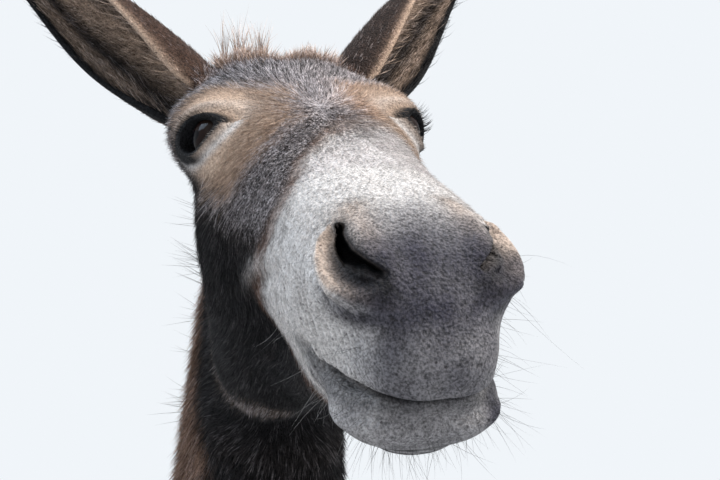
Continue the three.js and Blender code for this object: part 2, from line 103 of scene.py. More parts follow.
GAZE = unit(EYE_GAZE)
SLIT = square(EYE_SLIT, GAZE)
EYE_WAYS = np.stack((SLIT, np.cross(GAZE, SLIT), GAZE))  # rows: to the inner corner, across, outwards
GLOBE_AT = np.array(EYE_AT) + EYE_FORWARD * GAZE

EAR_UP = unit(EAR_AXIS)
EAR_OPEN = square(EAR_FACE, EAR_UP)
EAR_WAYS = np.stack((EAR_UP, np.cross(EAR_UP, EAR_OPEN), EAR_OPEN))  # rows: to the tip, across, outwards


def hoof_box(name):
    low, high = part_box(name)
    return np.array(low), np.array(high)


def frame_shift():
    """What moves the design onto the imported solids, found from the front hooves."""
    left, right = hoof_box("front_hoof_left"), hoof_box("front_hoof_right")
    across = (left[0][0] + left[1][0] + right[0][0] + right[1][0]) / 4
    return np.array((across, left[0][1] - HOOF_TOE, left[0][2]))


SHIFT = frame_shift()


def to_head(p):
    """Design points in the head's own frame."""
    return (p - HEAD_AT) @ HEAD.T


def from_head(q):
    """Head-frame points in the design."""
    return HEAD_AT + np.asarray(q, float) @ HEAD


def mirrored(q):
    """Head-frame points folded onto the left side, and the side each came from."""
    side = np.where(q[:, 1] < 0, -1.0, 1.0)
    return np.column_stack((q[:, 0], q[:, 1] * side, q[:, 2])), side


def ramp(low, high, value):
    """Rises smoothly from 0 at low to 1 at high; low may be the larger."""
    t = np.clip((value - low) / (high - low), 0, 1)
    return t * t * (3 - 2 * t)


def bell(value, width):
    return np.exp(-((value / width) ** 2))


def far_from(place, points):
    """How far each point is from one place."""
    return np.linalg.norm(points - np.asarray(place), axis=1)


def both_sides(side):
    """Turns ways on the left into ways on the side each point is on."""
    return np.column_stack((np.ones(len(side)), side, np.ones(len(side))))


# ---------------- flesh, as distances to rounded shapes


def melt(a, b, reach):
    """Joins two shapes, rounding the crease between them."""
    h = np.maximum(reach - np.abs(a - b), 0) / reach
    return np.minimum(a, b) - h * h * (reach / 4)


def fuse(first, *others):
    """Joins shapes in order, each given with the reach of its crease."""
    for shape, reach in others:
        first = melt(first, shape, reach)
    return first


def ball(p, at, size, tilt=0.0):
    """Distance to an ellipsoid, tilted about the x axis by degrees."""
    x, y, z = (p[:, i] - np.float32(at[i]) for i in range(3))
    if tilt:
        c, s = np.float32(math.cos(math.radians(tilt))), np.float32(math.sin(math.radians(tilt)))
        y, z = y * c + z * s, z * c - y * s
    x, y, z = x / size[0], y / size[1], z / size[2]
    near = np.sqrt(x * x + y * y + z * z)
    x, y, z = x / size[0], y / size[1], z / size[2]
    slope = np.sqrt(x * x + y * y + z * z)
    return near * (near - 1) / np.maximum(slope, 1e-9)


def limb(p, a, b, ra, rb, wide=1.0):
    """Distance to a tapered rod with round ends, stretched across by wide."""
    stretch = np.array((1 / wide, 1, 1), np.float32)
    a, b = np.array(a, np.float32) * stretch, np.array(b, np.float32) * stretch
    rod = b - a
    along2 = float(rod @ rod)
    fall = ra - rb
    square2 = along2 - fall * fall
    from_a = p * stretch - a
    y = from_a @ rod
    z = y - along2
    out = from_a * np.float32(along2) - rod * y[:, None]
    x2 = np.einsum("ij,ij->i", out, out)
    y2, z2 = y * y * along2, z * z * along2
    turn = np.sign(fall) * fall * fall * x2
    end_b = np.sqrt(x2 + z2) / along2 - rb
    end_a = np.sqrt(x2 + y2) / along2 - ra
    flank = (np.sqrt(np.maximum(x2 * square2 / along2, 0)) + y * fall) / along2 - ra
    nearest = np.where(np.sign(y) * square2 * y2 < turn, end_a, flank)
    nearest = np.where(np.sign(z) * square2 * z2 > turn, end_b, nearest)
    return nearest * min(wide, 1.0)


def folded(p, soft):
    """Points folded onto the left side, softly at the midline."""
    x = np.sqrt(p[:, 0] * p[:, 0] + np.float32(soft * soft))
    return np.column_stack((x, p[:, 1], p[:, 2]))


def head_flesh(q):
    """The head without its ears, in the head's frame."""
    s = np.column_stack((q[:, 0], np.sqrt(q[:, 1] ** 2 + np.float32(0.004**2)), q[:, 2]))
    skull = fuse(
        ball(s, (-0.095, 0, -0.040), (0.105, 0.078, 0.086)),  # braincase
        (ball(s, (-0.010, 0.015, -0.030), (0.085, 0.060, 0.066)), 0.05),  # forehead
        (ball(s, (-0.055, 0.068, -0.004), (0.050, 0.038, 0.037)), 0.030),  # brow
        (limb(s, (0.03, 0, -0.034), (0.215, 0, -0.032), 0.052, 0.038), 0.03),  # nose ridge
        (limb(s, (0.03, 0.025, -0.032), (0.215, 0.025, -0.030), 0.047, 0.034), 0.03),  # nose sides
        (limb(s, (0.0, 0.032, -0.075), (0.20, 0.020, -0.062), 0.051, 0.036), 0.04),  # upper jaw
        (ball(s, (-0.010, 0.040, -0.120), (0.100, 0.043, 0.100)), 0.03),  # cheek
        (limb(s, (-0.03, 0.026, -0.195), (0.19, 0.010, -0.105), 0.036, 0.026), 0.04),  # lower jaw
        (limb(s, (0.02, 0.070, -0.042), (0.11, 0.054, -0.040), 0.012, 0.008), 0.025),  # face crest
        (ball(s, (0.245, 0, -0.045), (0.050, 0.043, 0.042)), 0.03),  # muzzle
        (ball(s, (0.270, 0.008, -0.062), (0.034, 0.029, 0.026)), 0.02),  # upper lip
        (ball(s, (0.252, 0.035, -0.022), (0.030, 0.021, 0.018)), 0.02),  # nostril wing
    )
    lower_lip = melt(
        ball(s, (0.254, 0.014, -0.096), (0.036, 0.034, 0.018)),
        ball(s, (0.235, 0, -0.106), (0.038, 0.028, 0.024)),
        0.02,
    )
    lower_lip = melt(lower_lip, limb(s, (0.212, 0.034, -0.086), (0.245, 0.028, -0.093), 0.015, 0.014), 0.014)
    return fuse(
        skull,
        (lower_lip, 0.014),
        (ball(s, (-0.13, 0.035, -0.005), (0.06, 0.038, 0.045)), 0.04),  # ear roots
        (ball(s, EYE_AT, (0.026, 0.026, 0.025)), 0.012),  # lids
    )


def neck_flesh(p):
    s = folded(p, 0.004)
    return fuse(
        limb(s, (0, -0.680, 1.440), (0, -0.34, 1.06), 0.048, 0.085, 0.80),  # crest side
        (limb(s, (0, -0.660, 1.375), (0, -0.41, 0.99), 0.052, 0.105, 0.80), 0.06),
        (limb(s, (0, -0.648, 1.295), (0, -0.49, 0.91), 0.042, 0.085, 0.85), 0.08),  # throat side
    )


def trunk_flesh(p):
    s = folded(p, 0.01)
    return fuse(
        ball(s, (0, -0.20, 0.895), (0.175, 0.34, 0.240), -4),  # chest
        (ball(s, (0, 0.08, 0.885), (0.225, 0.36, 0.232)), 0.10),  # barrel
        (ball(s, (0, 0.34, 0.975), (0.185, 0.25, 0.180), -14), 0.10),  # croup
        (limb(s, (0, -0.36, 1.115), (0, 0.30, 1.115), 0.036, 0.045, 1.3), 0.08),  # back line
        (ball(s, (0.075, -0.35, 0.90), (0.085, 0.13, 0.22), 18), 0.06),  # shoulder
        (ball(s, (0.06, -0.45, 0.83), (0.075, 0.09, 0.12)), 0.06),  # breast
        (ball(s, (0.09, 0.44, 0.90), (0.085, 0.14, 0.19)), 0.06),  # rump
    )


def front_leg_flesh(s):
    return fuse(
        limb(s, (0.105, -0.34, 0.76), (0.112, -0.345, 0.60), 0.085, 0.050),
        (limb(s, (0.112, -0.345, 0.61), (0.110, -0.345, 0.40), 0.050, 0.033), 0.03),
        (ball(s, (0.110, -0.350, 0.375), (0.036, 0.037, 0.045)), 0.02),  # knee
        (limb(s, (0.110, -0.345, 0.35), (0.110, -0.343, 0.17), 0.024, 0.023), 0.02),  # cannon
        (limb(s, (0.110, -0.328, 0.34), (0.110, -0.326, 0.17), 0.014, 0.015), 0.012),  # tendon
        (ball(s, (0.110, -0.341, 0.155), (0.031, 0.036, 0.032)), 0.015),  # fetlock
        (limb(s, (0.110, -0.346, 0.15), (0.110, -0.385, 0.065), 0.026, 0.033), 0.015),  # pastern
    )


def hind_leg_flesh(s):
    return fuse(
        ball(s, (0.105, 0.385, 0.83), (0.085, 0.150, 0.21), -18),  # thigh
        (limb(s, (0.115, 0.36, 0.74), (0.115, 0.505, 0.53), 0.085, 0.040), 0.05),  # gaskin
        (limb(s, (0.113, 0.49, 0.72), (0.115, 0.555, 0.51), 0.045, 0.018), 0.03),  # tendon
        (ball(s, (0.115, 0.535, 0.475), (0.034, 0.044, 0.055), -20), 0.02),  # hock
        (limb(s, (0.115, 0.535, 0.45), (0.112, 0.530, 0.18), 0.028, 0.025), 0.02),  # cannon
        (limb(s, (0.115, 0.557, 0.44), (0.112, 0.548, 0.18), 0.015, 0.015), 0.012),
        (ball(s, (0.112, 0.536, 0.16), (0.031, 0.036, 0.032)), 0.015),  # fetlock
        (limb(s, (0.112, 0.530, 0.15), (0.112, 0.495, 0.065), 0.026, 0.033), 0.015),  # pastern
    )


def tail_flesh(p):
    return fuse(
        limb(p, (0, 0.52, 1.05), (0, 0.596, 1.02), 0.030, 0.027),
        (limb(p, (0, 0.596, 1.02), (0, 0.634, 0.93), 0.027, 0.022), 0.02),
        (limb(p, (0, 0.634, 0.93), (0, 0.648, 0.82), 0.022, 0.018), 0.02),
        (limb(p, (0, 0.648, 0.82), (0, 0.648, 0.70), 0.018, 0.012), 0.02),
    )


def only_where(near, shape, p):
    """A shape's distance at the chosen points, and far away at the rest."""
    far = np.full(len(p), 0.5, np.float32)
    if near.any():
        far[near] = shape(p[near])
    return far


def head_depth(q):
    """How deep the coat lies over the head: thin on the muzzle and round the eyes."""
    m, _ = mirrored(q)
    eye = far_from(EYE_AT, m)
    deep = 0.0040 - 0.0026 * ramp(0.10, 0.20, q[:, 0])
    return np.minimum(deep, 0.0010 + 0.003 * ramp(0.028, 0.050, eye))


def body_depth(p):
    """How deep the coat lies over neck, trunk and legs."""
    return 0.0035 + 0.0045 * ramp(0.45, 0.66, p[:, 2])


def body_skin(p):
    """Distance to the skin of neck, trunk, legs and tail."""
    y, z = p[:, 1], p[:, 2]
    d = only_where((y < 0.02) & (z > 0.58), neck_flesh, p)
    d = melt(d, only_where((z > 0.44) & (z < 1.44) & (y > -0.80), trunk_flesh, p), 0.12)
    for side in (1, -1):
        for reach, step, shape in (
            ((y < -0.15) & (y > -0.60) & (z < 1.0), FRONT_STEP, front_leg_flesh),
            ((y > 0.05) & (z < 1.15), -HIND_STEP, hind_leg_flesh),
        ):
            moved = p * np.array((side, 1, 1), np.float32) - np.array((0, step * side, 0), np.float32)
            d = melt(d, only_where(reach, shape, moved), 0.03)
    d = d + body_depth(p)
    return melt(d, only_where(y > 0.38, tail_flesh, p) + np.float32(0.004), 0.02)


def skin_distance(p):
    """Distance outside the bare skin of the whole animal, without its ears."""
    p = np.asarray(p, np.float32)
    near = (p[:, 1] < -0.48) & (p[:, 2] > 0.98)
    d = body_skin(p)
    if near.any():
        q = to_head(p[near].astype(float)).astype(np.float32)
        d[near] = melt(head_flesh(q) + head_depth(q).astype(np.float32), d[near], 0.022)
    return d


def outward(field, p, step=0.0006):
    """The field's value and its unit slope at each point, from four samples round it."""
    ways = np.array(((1, 1, 1), (1, -1, -1), (-1, 1, -1), (-1, -1, 1)), float)
    slope = np.zeros_like(p)
    total = np.zeros(len(p))
    for way in ways:
        value = field(p + way * step)
        slope += value[:, None] * way
        total += value
    return total / 4, slope / np.maximum(np.linalg.norm(slope, axis=1), 1e-12)[:, None]


def settle(field, p, rounds, reach):
    """Moves points onto the surface where the field is zero."""
    for _ in range(rounds):
        value, way = outward(field, p)
        p = p - way * np.clip(value, -reach, reach)[:, None]
    return p


# ---------------- skin mesh

BLOCK = 8  # cells along a block that is looked at as one
BLOCKS_AT_ONCE = 1500


def sampled_grid(field, low, high, cell):
    """The field on a grid, worked out only in blocks near the surface, and signed elsewhere."""
    count = np.ceil((np.array(high) - low) / cell).astype(int) + 1
    blocks = -(-count // BLOCK)
    middles = [low[k] + (np.arange(blocks[k]) + 0.5) * BLOCK * cell for k in range(3)]
    mesh = np.stack([m.ravel() for m in np.meshgrid(*middles, indexing="ij")], 1)
    coarse = field(mesh).reshape(blocks)
    grid = np.ones(tuple(blocks * BLOCK + 1), np.float32)
    sign = np.where(coarse < 0, -1, 1)
    for axis in range(3):
        sign = np.repeat(sign, BLOCK, axis)
    grid[:-1, :-1, :-1] = sign
    run = np.arange(BLOCK + 1)
    near = np.argwhere(np.abs(coarse) < BLOCK * cell * 0.95 + 0.01) * BLOCK
    for start in range(0, len(near), BLOCKS_AT_ONCE):
        corner = near[start : start + BLOCKS_AT_ONCE]
        index = [corner[:, k].reshape(-1, 1, 1, 1) + run.reshape(np.roll((-1, 1, 1), k)) for k in range(3)]
        index = [i.ravel() for i in np.broadcast_arrays(*index)]
        points = np.stack([low[k] + index[k] * cell for k in range(3)], 1)
        grid[tuple(index)] = field(points)
    return grid


def cell_corners(grid, offset):
    i, j, k = offset
    n = np.array(grid.shape) - 1
    return grid[i : i + n[0], j : j + n[1], k : k + n[2]]


def surface_net(field, low, high, cell):
    """A mesh of four-sided faces where the field crosses zero."""
    low = np.array(low, float)
    grid = sampled_grid(field, low, high, cell)
    inside = grid < 0
    offsets = [(i, j, k) for i in (0, 1) for j in (0, 1) for k in (0, 1)]
    filled = sum(cell_corners(inside, o).astype(np.int8) for o in offsets)
    cells = np.argwhere((filled > 0) & (filled < 8))
    number = np.full(filled.shape, -1)
    number[tuple(cells.T)] = np.arange(len(cells))
    values = np.stack([grid[tuple((cells + o).T)] for o in offsets], 1)
    place, hits = np.zeros((len(cells), 3)), np.zeros(len(cells))
    corner = np.array(offsets, float)
    for a in range(8):
        for b in range(a + 1, 8):
            if np.abs(corner[a] - corner[b]).sum() != 1:
                continue
            crosses = (values[:, a] < 0) != (values[:, b] < 0)
            share = values[crosses, a] / (values[crosses, a] - values[crosses, b])
            place[crosses] += corner[a] + (corner[b] - corner[a]) * share[:, None]
            hits[crosses] += 1
    points = low + (cells + place / hits[:, None]) * cell
    faces = []
    limit = np.array(filled.shape)
    for axis in range(3):
        step = np.eye(3, dtype=int)
        first = inside[tuple(slice(0, s - step[axis][k]) for k, s in enumerate(inside.shape))]
        second = inside[tuple(slice(step[axis][k], None) for k in range(3))]
        edges = np.argwhere(first != second)
        u, v = (axis + 1) % 3, (axis + 2) % 3
        edges = edges[(edges[:, u] > 0) & (edges[:, v] > 0) & (edges < limit).all(1)]
        leaves = first[tuple(edges.T)]
        loop = [number[tuple((edges - d).T)] for d in (step[u] + step[v], step[v], 0 * step[u], step[u])]
        loop = np.stack(loop, 1)
        loop[~leaves] = loop[~leaves][:, ::-1]
        faces.append(loop)
    return points, np.concatenate(faces)


def split_faces(points, faces, others, chosen):
    """Splits the chosen four-sided faces in four; their neighbours take in the new points on their edges."""
    picked = faces[chosen]
    sides = np.stack([picked, np.roll(picked, -1, 1)], 2).reshape(-1, 2)
    edges, back = np.unique(np.sort(sides, 1), axis=0, return_inverse=True)
    first = len(points)
    middles = points[edges].mean(1)
    centres = points[picked].mean(1)
    edge_point = first + back.reshape(-1, 4)
    centre_point = first + len(edges) + np.arange(len(picked))
    split = [
        np.stack([picked[:, i], edge_point[:, i], centre_point, edge_point[:, i - 1]], 1) for i in range(4)
    ]
    new_point = {(int(a), int(b)): first + i for i, (a, b) in enumerate(edges)}
    touched = np.zeros(first, bool)
    touched[edges] = True
    left = faces[~chosen]
    may = touched[left].sum(1) > 1
    kept, grown = [left[~may]], []
    for face in [list(map(int, f)) for f in left[may]] + others:
        loop = []
        for a, b in zip(face, face[1:] + face[:1]):
            loop.append(a)
            between = new_point.get((min(a, b), max(a, b)))
            if between is not None:
                loop.append(between)
        (grown if len(loop) > 4 else kept).append(loop if len(loop) > 4 else np.array([loop]))
    return np.concatenate((points, middles, centres)), np.concatenate(split + kept), grown


# ---------------- nostrils, mouth, lids and folds

# Lines on the left side of the head, in its own frame, and their widths.
SLOT = (  # the nostril's opening, from its top to the front
    (0.2372, 0.0417, 0.0008), (0.2430, 0.0438, -0.0014), (0.2505, 0.0443, -0.0032),
    (0.2615, 0.0426, -0.0070), (0.2705, 0.0374, -0.0094), (0.2780, 0.0275, -0.0126),
)
SLOT_WIDE = (0.0031, 0.0037, 0.0040, 0.0037, 0.0030, 0.0010)
NOSTRIL_TOP = ((0.2400, 0.0430, -0.0004), (0.2345, 0.0412, 0.0014), (0.2300, 0.0392, 0.0026))
NOSTRIL_TOP_WIDE = (0.0030, 0.0024, 0.0010)
FAR_TOP = (0.2425, 0.2460)  # where the left nostril's narrow top fades out
RIM = (  # the raised rim that sweeps round behind and below the nostril
    (0.2290, 0.0400, 0.0020), (0.2367, 0.0500, -0.0046), (0.2460, 0.0545, -0.0103),
    (0.2574, 0.0557, -0.0163), (0.2668, 0.0535, -0.0215), (0.2765, 0.0470, -0.0250),
    (0.2818, 0.0400, -0.0262),
)
RIM_WIDE = 0.001
TO_RIM = np.array((0.0, 0.758, -0.652))  # from the slot towards the rim
SHELF_AT = (0.226, 0.240, 0.255, 0.270, 0.284)
SHELF_WIDE = (0.004, 0.012, 0.017, 0.020, 0.016)  # from slot to rim at each of these
NOSTRIL_AT = (0.256, 0.045, -0.010)
NOSTRIL_IN = np.array((-0.93, -0.22, -0.28))  # which way the passage runs
NOSTRIL_DEEP = 0.034
MOUTH_LINE = (  # how far forward, and how high the lips meet there
    (0.2150, -0.0700), (0.2195, -0.0735), (0.2310, -0.0815), (0.2550, -0.0815),
    (0.2730, -0.0790), (0.2910, -0.0775), (0.3050, -0.0785),
)
MOUTH_CORNER = (0.2180, 0.0540, -0.0725)
CHEEK_FOLD = (  # from the nostril back and down over the cheek
    (0.1900, 0.0640, -0.0280), (0.1690, 0.0680, -0.0360), (0.1300, 0.0726, -0.0545),
    (0.1050, 0.0733, -0.0700), (0.0875, 0.0728, -0.0850), (0.0735, 0.0722, -0.1010),
)
FOLD_WIDE = (0.0, 0.0015, 0.002, 0.002, 0.001, 0.0)
JAW_EDGE = (  # down behind the cheek and forward under it
    (0.010, 0.087, -0.099), (-0.018, 0.083, -0.127), (-0.048, 0.079, -0.165), (-0.0595, 0.077, -0.191),
    (-0.047, 0.076, -0.204), (-0.034, 0.074, -0.212), (-0.0165, 0.068, -0.218), (0.032, 0.0635, -0.2025),
    (0.062, 0.053, -0.1935), (0.071, 0.0395, -0.194),
)
CREASE_APART = 0.0058  # between the creases at the mouth's corner
CHIN_RIDGES = 0.0105  # between the ridges under the lower lip
LID_DEEP = 0.0135  # how far the lids' opening is pressed in
EYE_UP_SIGN = math.copysign(1.0, EYE_WAYS[1][2])  # which way across the slit is up


def from_chain(q, chain, wide=0.0):
    """Distance from points to a chain of tapering rods, and the nearest place on it."""
    chain = np.array(chain)
    wide = np.broadcast_to(wide, len(chain))
    best = np.full(len(q), 9.0)
    where = np.zeros_like(q)
    for a, b, ra, rb in zip(chain, chain[1:], wide, wide[1:]):
        t = np.clip((q - a) @ (b - a) / ((b - a) @ (b - a)), 0, 1)
        at = a + t[:, None] * (b - a)
        d = np.linalg.norm(q - at, axis=1) - (ra + (rb - ra) * t)
        closer = d < best
        best[closer], where[closer] = d[closer], at[closer]
    return best, where


def mouth_gap(m):
    """How far a point of the muzzle lies above the line between the lips."""
    line = np.array(MOUTH_LINE)
    return m[:, 2] - np.interp(m[:, 0], line[:, 0], line[:, 1])


def eye_place(m):
    """Points in the eye's frame: to the inner corner, across the slit, and outwards."""
    return (m - np.array(EYE_AT)) @ EYE_WAYS.T


def almond(e):
    """Below 1 between the lids, above 1 outside them."""
    along = np.abs(e[:, 0] + 0.0030) / 0.0205
    across = np.abs(e[:, 1] + 0.0008) / 0.0118
    return (along**1.65 + across**1.65) ** (1 / 1.65)


def relief(q, way):
    """Shapes the head's skin: how each point moves, how bare of coat it is, and how deep in a hollow."""
    m, side = mirrored(q)
    fold = both_sides(side)
    out = way * fold
    shift = np.zeros(len(q))
    # nostril: a slot under the upper pad, with a shelf that runs out to the rim
    slot, slot_at = from_chain(m, SLOT, SLOT_WIDE)
    rim, _ = from_chain(m, RIM, RIM_WIDE)
    beside = (m - slot_at) @ TO_RIM / np.interp(m[:, 0], SHELF_AT, SHELF_WIDE)
    near_nostril = ramp(0.032, 0.022, far_from(NOSTRIL_AT, m))
    shift += 0.0028 * bell(rim - 0.0005, 0.0045) * near_nostril
    shift -= 0.0066 * ramp(0.0, 0.3, beside) * ramp(1.05, 0.55, beside) * near_nostril
    shift += 0.0024 * bell(slot - 0.0085, 0.006) * ramp(0.0, -0.4, beside) * near_nostril
    shift -= 0.0030 * bell(rim - 0.0075, 0.0036) * ramp(1.0, 1.4, beside) * near_nostril
    hole = ramp(0.0018, -0.0018, slot) * np.where(side > 0, ramp(*FAR_TOP, m[:, 0]), 1.0)
    # mouth
    gap = mouth_gap(m)
    front = ramp(0.2165, 0.2220, m[:, 0])
    shift -= 0.0098 * bell(gap, 0.0025) * front
    shift += 0.0012 * (bell(gap - 0.006, 0.0045) + 1.3 * bell(gap + 0.007, 0.005)) * front
    corner = far_from(MOUTH_CORNER, m)
    shift -= 0.0035 * bell(corner, 0.006)
    shift -= 0.0025 * creases(m)
    chin = ramp(-0.006, -0.014, gap) * ramp(0.225, 0.25, m[:, 0])
    shift += 0.0025 * ramp(-0.010, -0.022, gap) * ramp(0.235, 0.262, m[:, 0])
    shift += 0.0004 * np.sin(2 * math.pi * gap / CHIN_RIDGES) * chin
    # fold from the nostril down the cheek, and the groove behind it
    fold_near, _ = from_chain(m, CHEEK_FOLD, FOLD_WIDE)
    shift += 0.0016 * bell(fold_near, 0.006) - 0.0009 * bell(fold_near - 0.011, 0.005)
    # lids
    e = eye_place(m)
    near_eye = ramp(0.046, 0.026, np.linalg.norm(e, axis=1)) * ramp(-0.004, 0.006, e[:, 2])
    lid = almond(e)
    up = e[:, 1] * EYE_UP_SIGN
    upper = ramp(-0.2, 0.5, (lid - 1) * np.sign(up)) * ramp(0.0, 0.006, up)
    shift += 0.0013 * bell(lid - 1.22, 0.17) * near_eye
    shift -= 0.0016 * bell(lid - 1.62, 0.16) * near_eye * upper
    shift += 0.0022 * bell(lid - 2.02, 0.22) * near_eye * upper
    shift -= 0.0012 * bell(lid - 1.55, 0.20) * near_eye * (1 - upper)
    opening = ramp(1.02, 0.90, lid) * ramp(0.0, 0.006, e[:, 2])
    move = out * shift[:, None]
    move = move + NOSTRIL_IN * (NOSTRIL_DEEP * hole)[:, None]
    move = move - EYE_WAYS[2] * (LID_DEEP * opening)[:, None]
    bare = hole * 2 + opening * 2 + bell(gap, 0.0032) * front + ramp(1.22, 1.02, lid) * near_eye
    return move * fold, np.clip(bare, 0, 1), np.maximum(hole, opening)


def unit_rows(v):
    return v / np.maximum(np.linalg.norm(v, axis=1), 1e-9)[:, None]


def detail_wanted(p, level):
    """Which points lie where the mesh is split again at a level."""
    q = to_head(p)
    m, _ = mirrored(q)
    on_head = (p[:, 1] < -0.59) & (p[:, 2] > 1.10)
    eye = np.linalg.norm(m - np.array(EYE_AT) - 0.018 * GAZE, axis=1)
    if level == 0:
        return on_head | (p[:, 2] < 0.22)
    slot = far_from(NOSTRIL_AT, m)
    lips = on_head & (np.abs(mouth_gap(m)) < 0.011) & (m[:, 0] > 0.206)
    if level == 1:
        return on_head & ((m[:, 0] > 0.165) | (eye < 0.060))
    if level == 2:
        from_corner = np.linalg.norm(m - np.array(MOUTH_CORNER) - np.array((0.025, 0, 0.02)), axis=1)
        return on_head & ((slot < 0.036) | lips | (eye < 0.040) | (from_corner < 0.034))
    line = on_head & (np.abs(mouth_gap(m)) < 0.0045) & (m[:, 0] > 0.212)
    return line | on_head & ((slot < 0.026) | ((eye < 0.032) & (np.abs(almond(eye_place(m)) - 1) < 0.35)))


# ---------------- ears


def ear_trough(t):
    """Radius of the ear's trough and half its angle, from its root (0) to its tip (1)."""
    radius = 0.0273 + t * (0.0305 + t * (0.0157 + t * (-0.1299 + t * 0.0691)))
    half = np.radians(149.8 - t * (78 + t * (57 - t * 59.5)))
    return np.maximum(radius, 0.004), half


def ear_lean(t):
    return 0.0039 * np.sin(math.pi * np.clip(t, 0, 1)) - 0.0116 * t * t


def ear_point(t, angle, radius):
    """A point of the left ear in the head's frame."""
    open_way = ear_lean(t) - radius * np.cos(angle)
    local = np.stack(np.broadcast_arrays(EAR_LONG * t, radius * np.sin(angle), open_way), -1)
    return np.array(EAR_ROOT) + local @ EAR_WAYS


def ear_place(m):
    """Places by the left ear: how far up it, the angle round it, and how far outside its shell."""
    local = (m - np.array(EAR_ROOT)) @ EAR_WAYS.T
    t = local[:, 0] / EAR_LONG
    radius, half = ear_trough(np.clip(t, 0, 1))
    back = local[:, 2] - ear_lean(np.clip(t, -0.1, 1))
    angle = np.arctan2(local[:, 1], -back)
    return t, angle / half, np.hypot(local[:, 1], back) - radius


def ear_mesh(side, rows=58, arc=26):
    """One ear as a closed shell, in the design's place."""
    ts = -0.12 + 1.112 * np.sin(np.linspace(0, 1, rows) * math.pi / 2) ** 0.92
    loops = []
    for t in ts:
        radius, half = ear_trough(np.array(t))
        thick = 0.0030 - 0.0014 * np.clip(t, 0, 1)
        across = np.linspace(-1, 1, arc) * half
        ribs = 0.0011 * np.cos(5 * across) * np.clip(1 - abs(t - 0.35) / 0.4, 0, 1)
        edge = half + thick * 0.7 / radius
        outer = ear_point(t, across, radius + thick)
        inner = ear_point(t, across[::-1], np.maximum(radius - thick - ribs[::-1], 0.0008))
        first, last = ear_point(t, edge, radius)[None], ear_point(t, -edge, radius)[None]
        loops.append(np.concatenate((outer, first, inner, last)))
    points = np.concatenate(loops + [ear_point(1.0, 0.0, 0.001)[None]])
    count = 2 * arc + 2
    i = np.arange(count)
    ring = np.stack((i, (i + 1) % count, (i + 1) % count + count, i + count), 1)
    faces = [list(map(int, f + row * count)) for row in range(rows - 1) for f in ring]
    last = (rows - 1) * count
    faces += [[len(points) - 1, last + int(a), last + (int(a) + 1) % count] for a in i]
    partner = (count - 1 - i - 1) % count
    faces += [[int(a) + 1, int(a), int(partner[a]), int(partner[a + 1])] for a in range(arc - 1)]
    faces += [[0, count - 1, int(partner[0])], [arc, arc - 1, int(partner[arc - 1])]]
    points = points * np.array((1, side, 1))
    if side < 0:
        faces = [f[::-1] for f in faces]
    return from_head(points), faces


def add_object(name, data):
    """An object with this mesh, light or camera, linked to the scene."""
    thing = bpy.data.objects.new(name, data)
    bpy.context.scene.collection.objects.link(thing)
    return thing


def smooth(mesh):
    mesh.polygons.foreach_set("use_smooth", np.ones(len(mesh.polygons), bool))


def new_mesh(name, points, faces):
    """A mesh object from points and faces, linked to the scene."""
    mesh = bpy.data.meshes.new(name)
    mesh.from_pydata([tuple(p) for p in points], [], [tuple(f) for f in faces])
    mesh.update()
    return add_object(name, mesh)


def outward_faces(thing):
    """Turns all faces outwards."""
    work = bmesh.new()
    work.from_mesh(thing.data)
    bmesh.ops.recalc_face_normals(work, faces=work.faces)
    work.to_mesh(thing.data)
    work.free()


def apply_modifiers(thing):
    """Replaces an object's mesh by what its modifiers make of it."""
    seen = thing.evaluated_get(bpy.context.evaluated_depsgraph_get())
    mesh = bpy.data.meshes.new_from_object(seen)
    thing.modifiers.clear()
    old, thing.data = thing.data, mesh
    bpy.data.meshes.remove(old)


def join_ears(thing):
    """Grows both ears out of the head, and rounds the crease where they meet."""
    for side in (1, -1):
        ear = new_mesh("ear", *ear_mesh(side))
        outward_faces(ear)
        union = thing.modifiers.new("ear", "BOOLEAN")
        union.operation = "UNION"
        union.solver = "MANIFOLD"
        union.object = ear
        apply_modifiers(thing)
        bpy.data.meshes.remove(ear.data)
    work = bmesh.new()
    work.from_mesh(thing.data)
    place = np.array([v.co for v in work.verts])
    m, _ = mirrored(to_head(place))
    t, _, off = ear_place(m)
    root = (t < 0.12) & (t > -0.1) & (np.abs(off) < 0.012)
    root &= far_from(EAR_ROOT, m) < 0.07
    work.verts.ensure_lookup_table()
    near = [work.verts[int(i)] for i in np.flatnonzero(root)]
    for _ in range(6):
        bmesh.ops.smooth_vert(
            work, verts=near, factor=0.5, use_axis_x=True, use_axis_y=True, use_axis_z=True
        )
    work.to_mesh(thing.data)
    work.free()


def make_skin(cell):
    """Points and faces of the whole skin without its ears, finest at the nostrils, lips and lids."""
    points, faces = surface_net(skin_distance, (-0.30, -1.12, 0.01), (0.30, 0.72, 1.60), cell)
    points = settle(skin_distance, points, 2, 0.004)
    others = []
    for level in range(4):
        chosen = detail_wanted(points[faces].mean(1), level)
        fresh = len(points)
        points, faces, others = split_faces(points, faces, others, chosen)
        points[fresh:] = settle(skin_distance, points[fresh:], 2, 0.003)
    return points, [list(map(int, f)) for f in faces] + others


def shape_face(thing):
    """Presses nostrils, mouth and lids into the skin, and notes which of its points are bare or hollow."""
    co, _ = read_points(thing.data)
    face = np.flatnonzero((co[:, 1] < -0.59) & (co[:, 2] > 1.10) & (to_head(co)[:, 0] > -0.075))
    q = to_head(co[face])
    _, way = outward(skin_distance, co[face])
    move, bare, hollow = relief(q, way @ HEAD.T)
    co[face] = from_head(q + move)
    thing.data.vertices.foreach_set("co", (co + SHIFT).astype(np.float32).ravel())
    everywhere = np.zeros((2, len(co)))
    everywhere[:, face] = bare, hollow
    write_values(thing.data, bare=everywhere[0], hollow=everywhere[1])
    thing.data.update()


# ---------------- markings

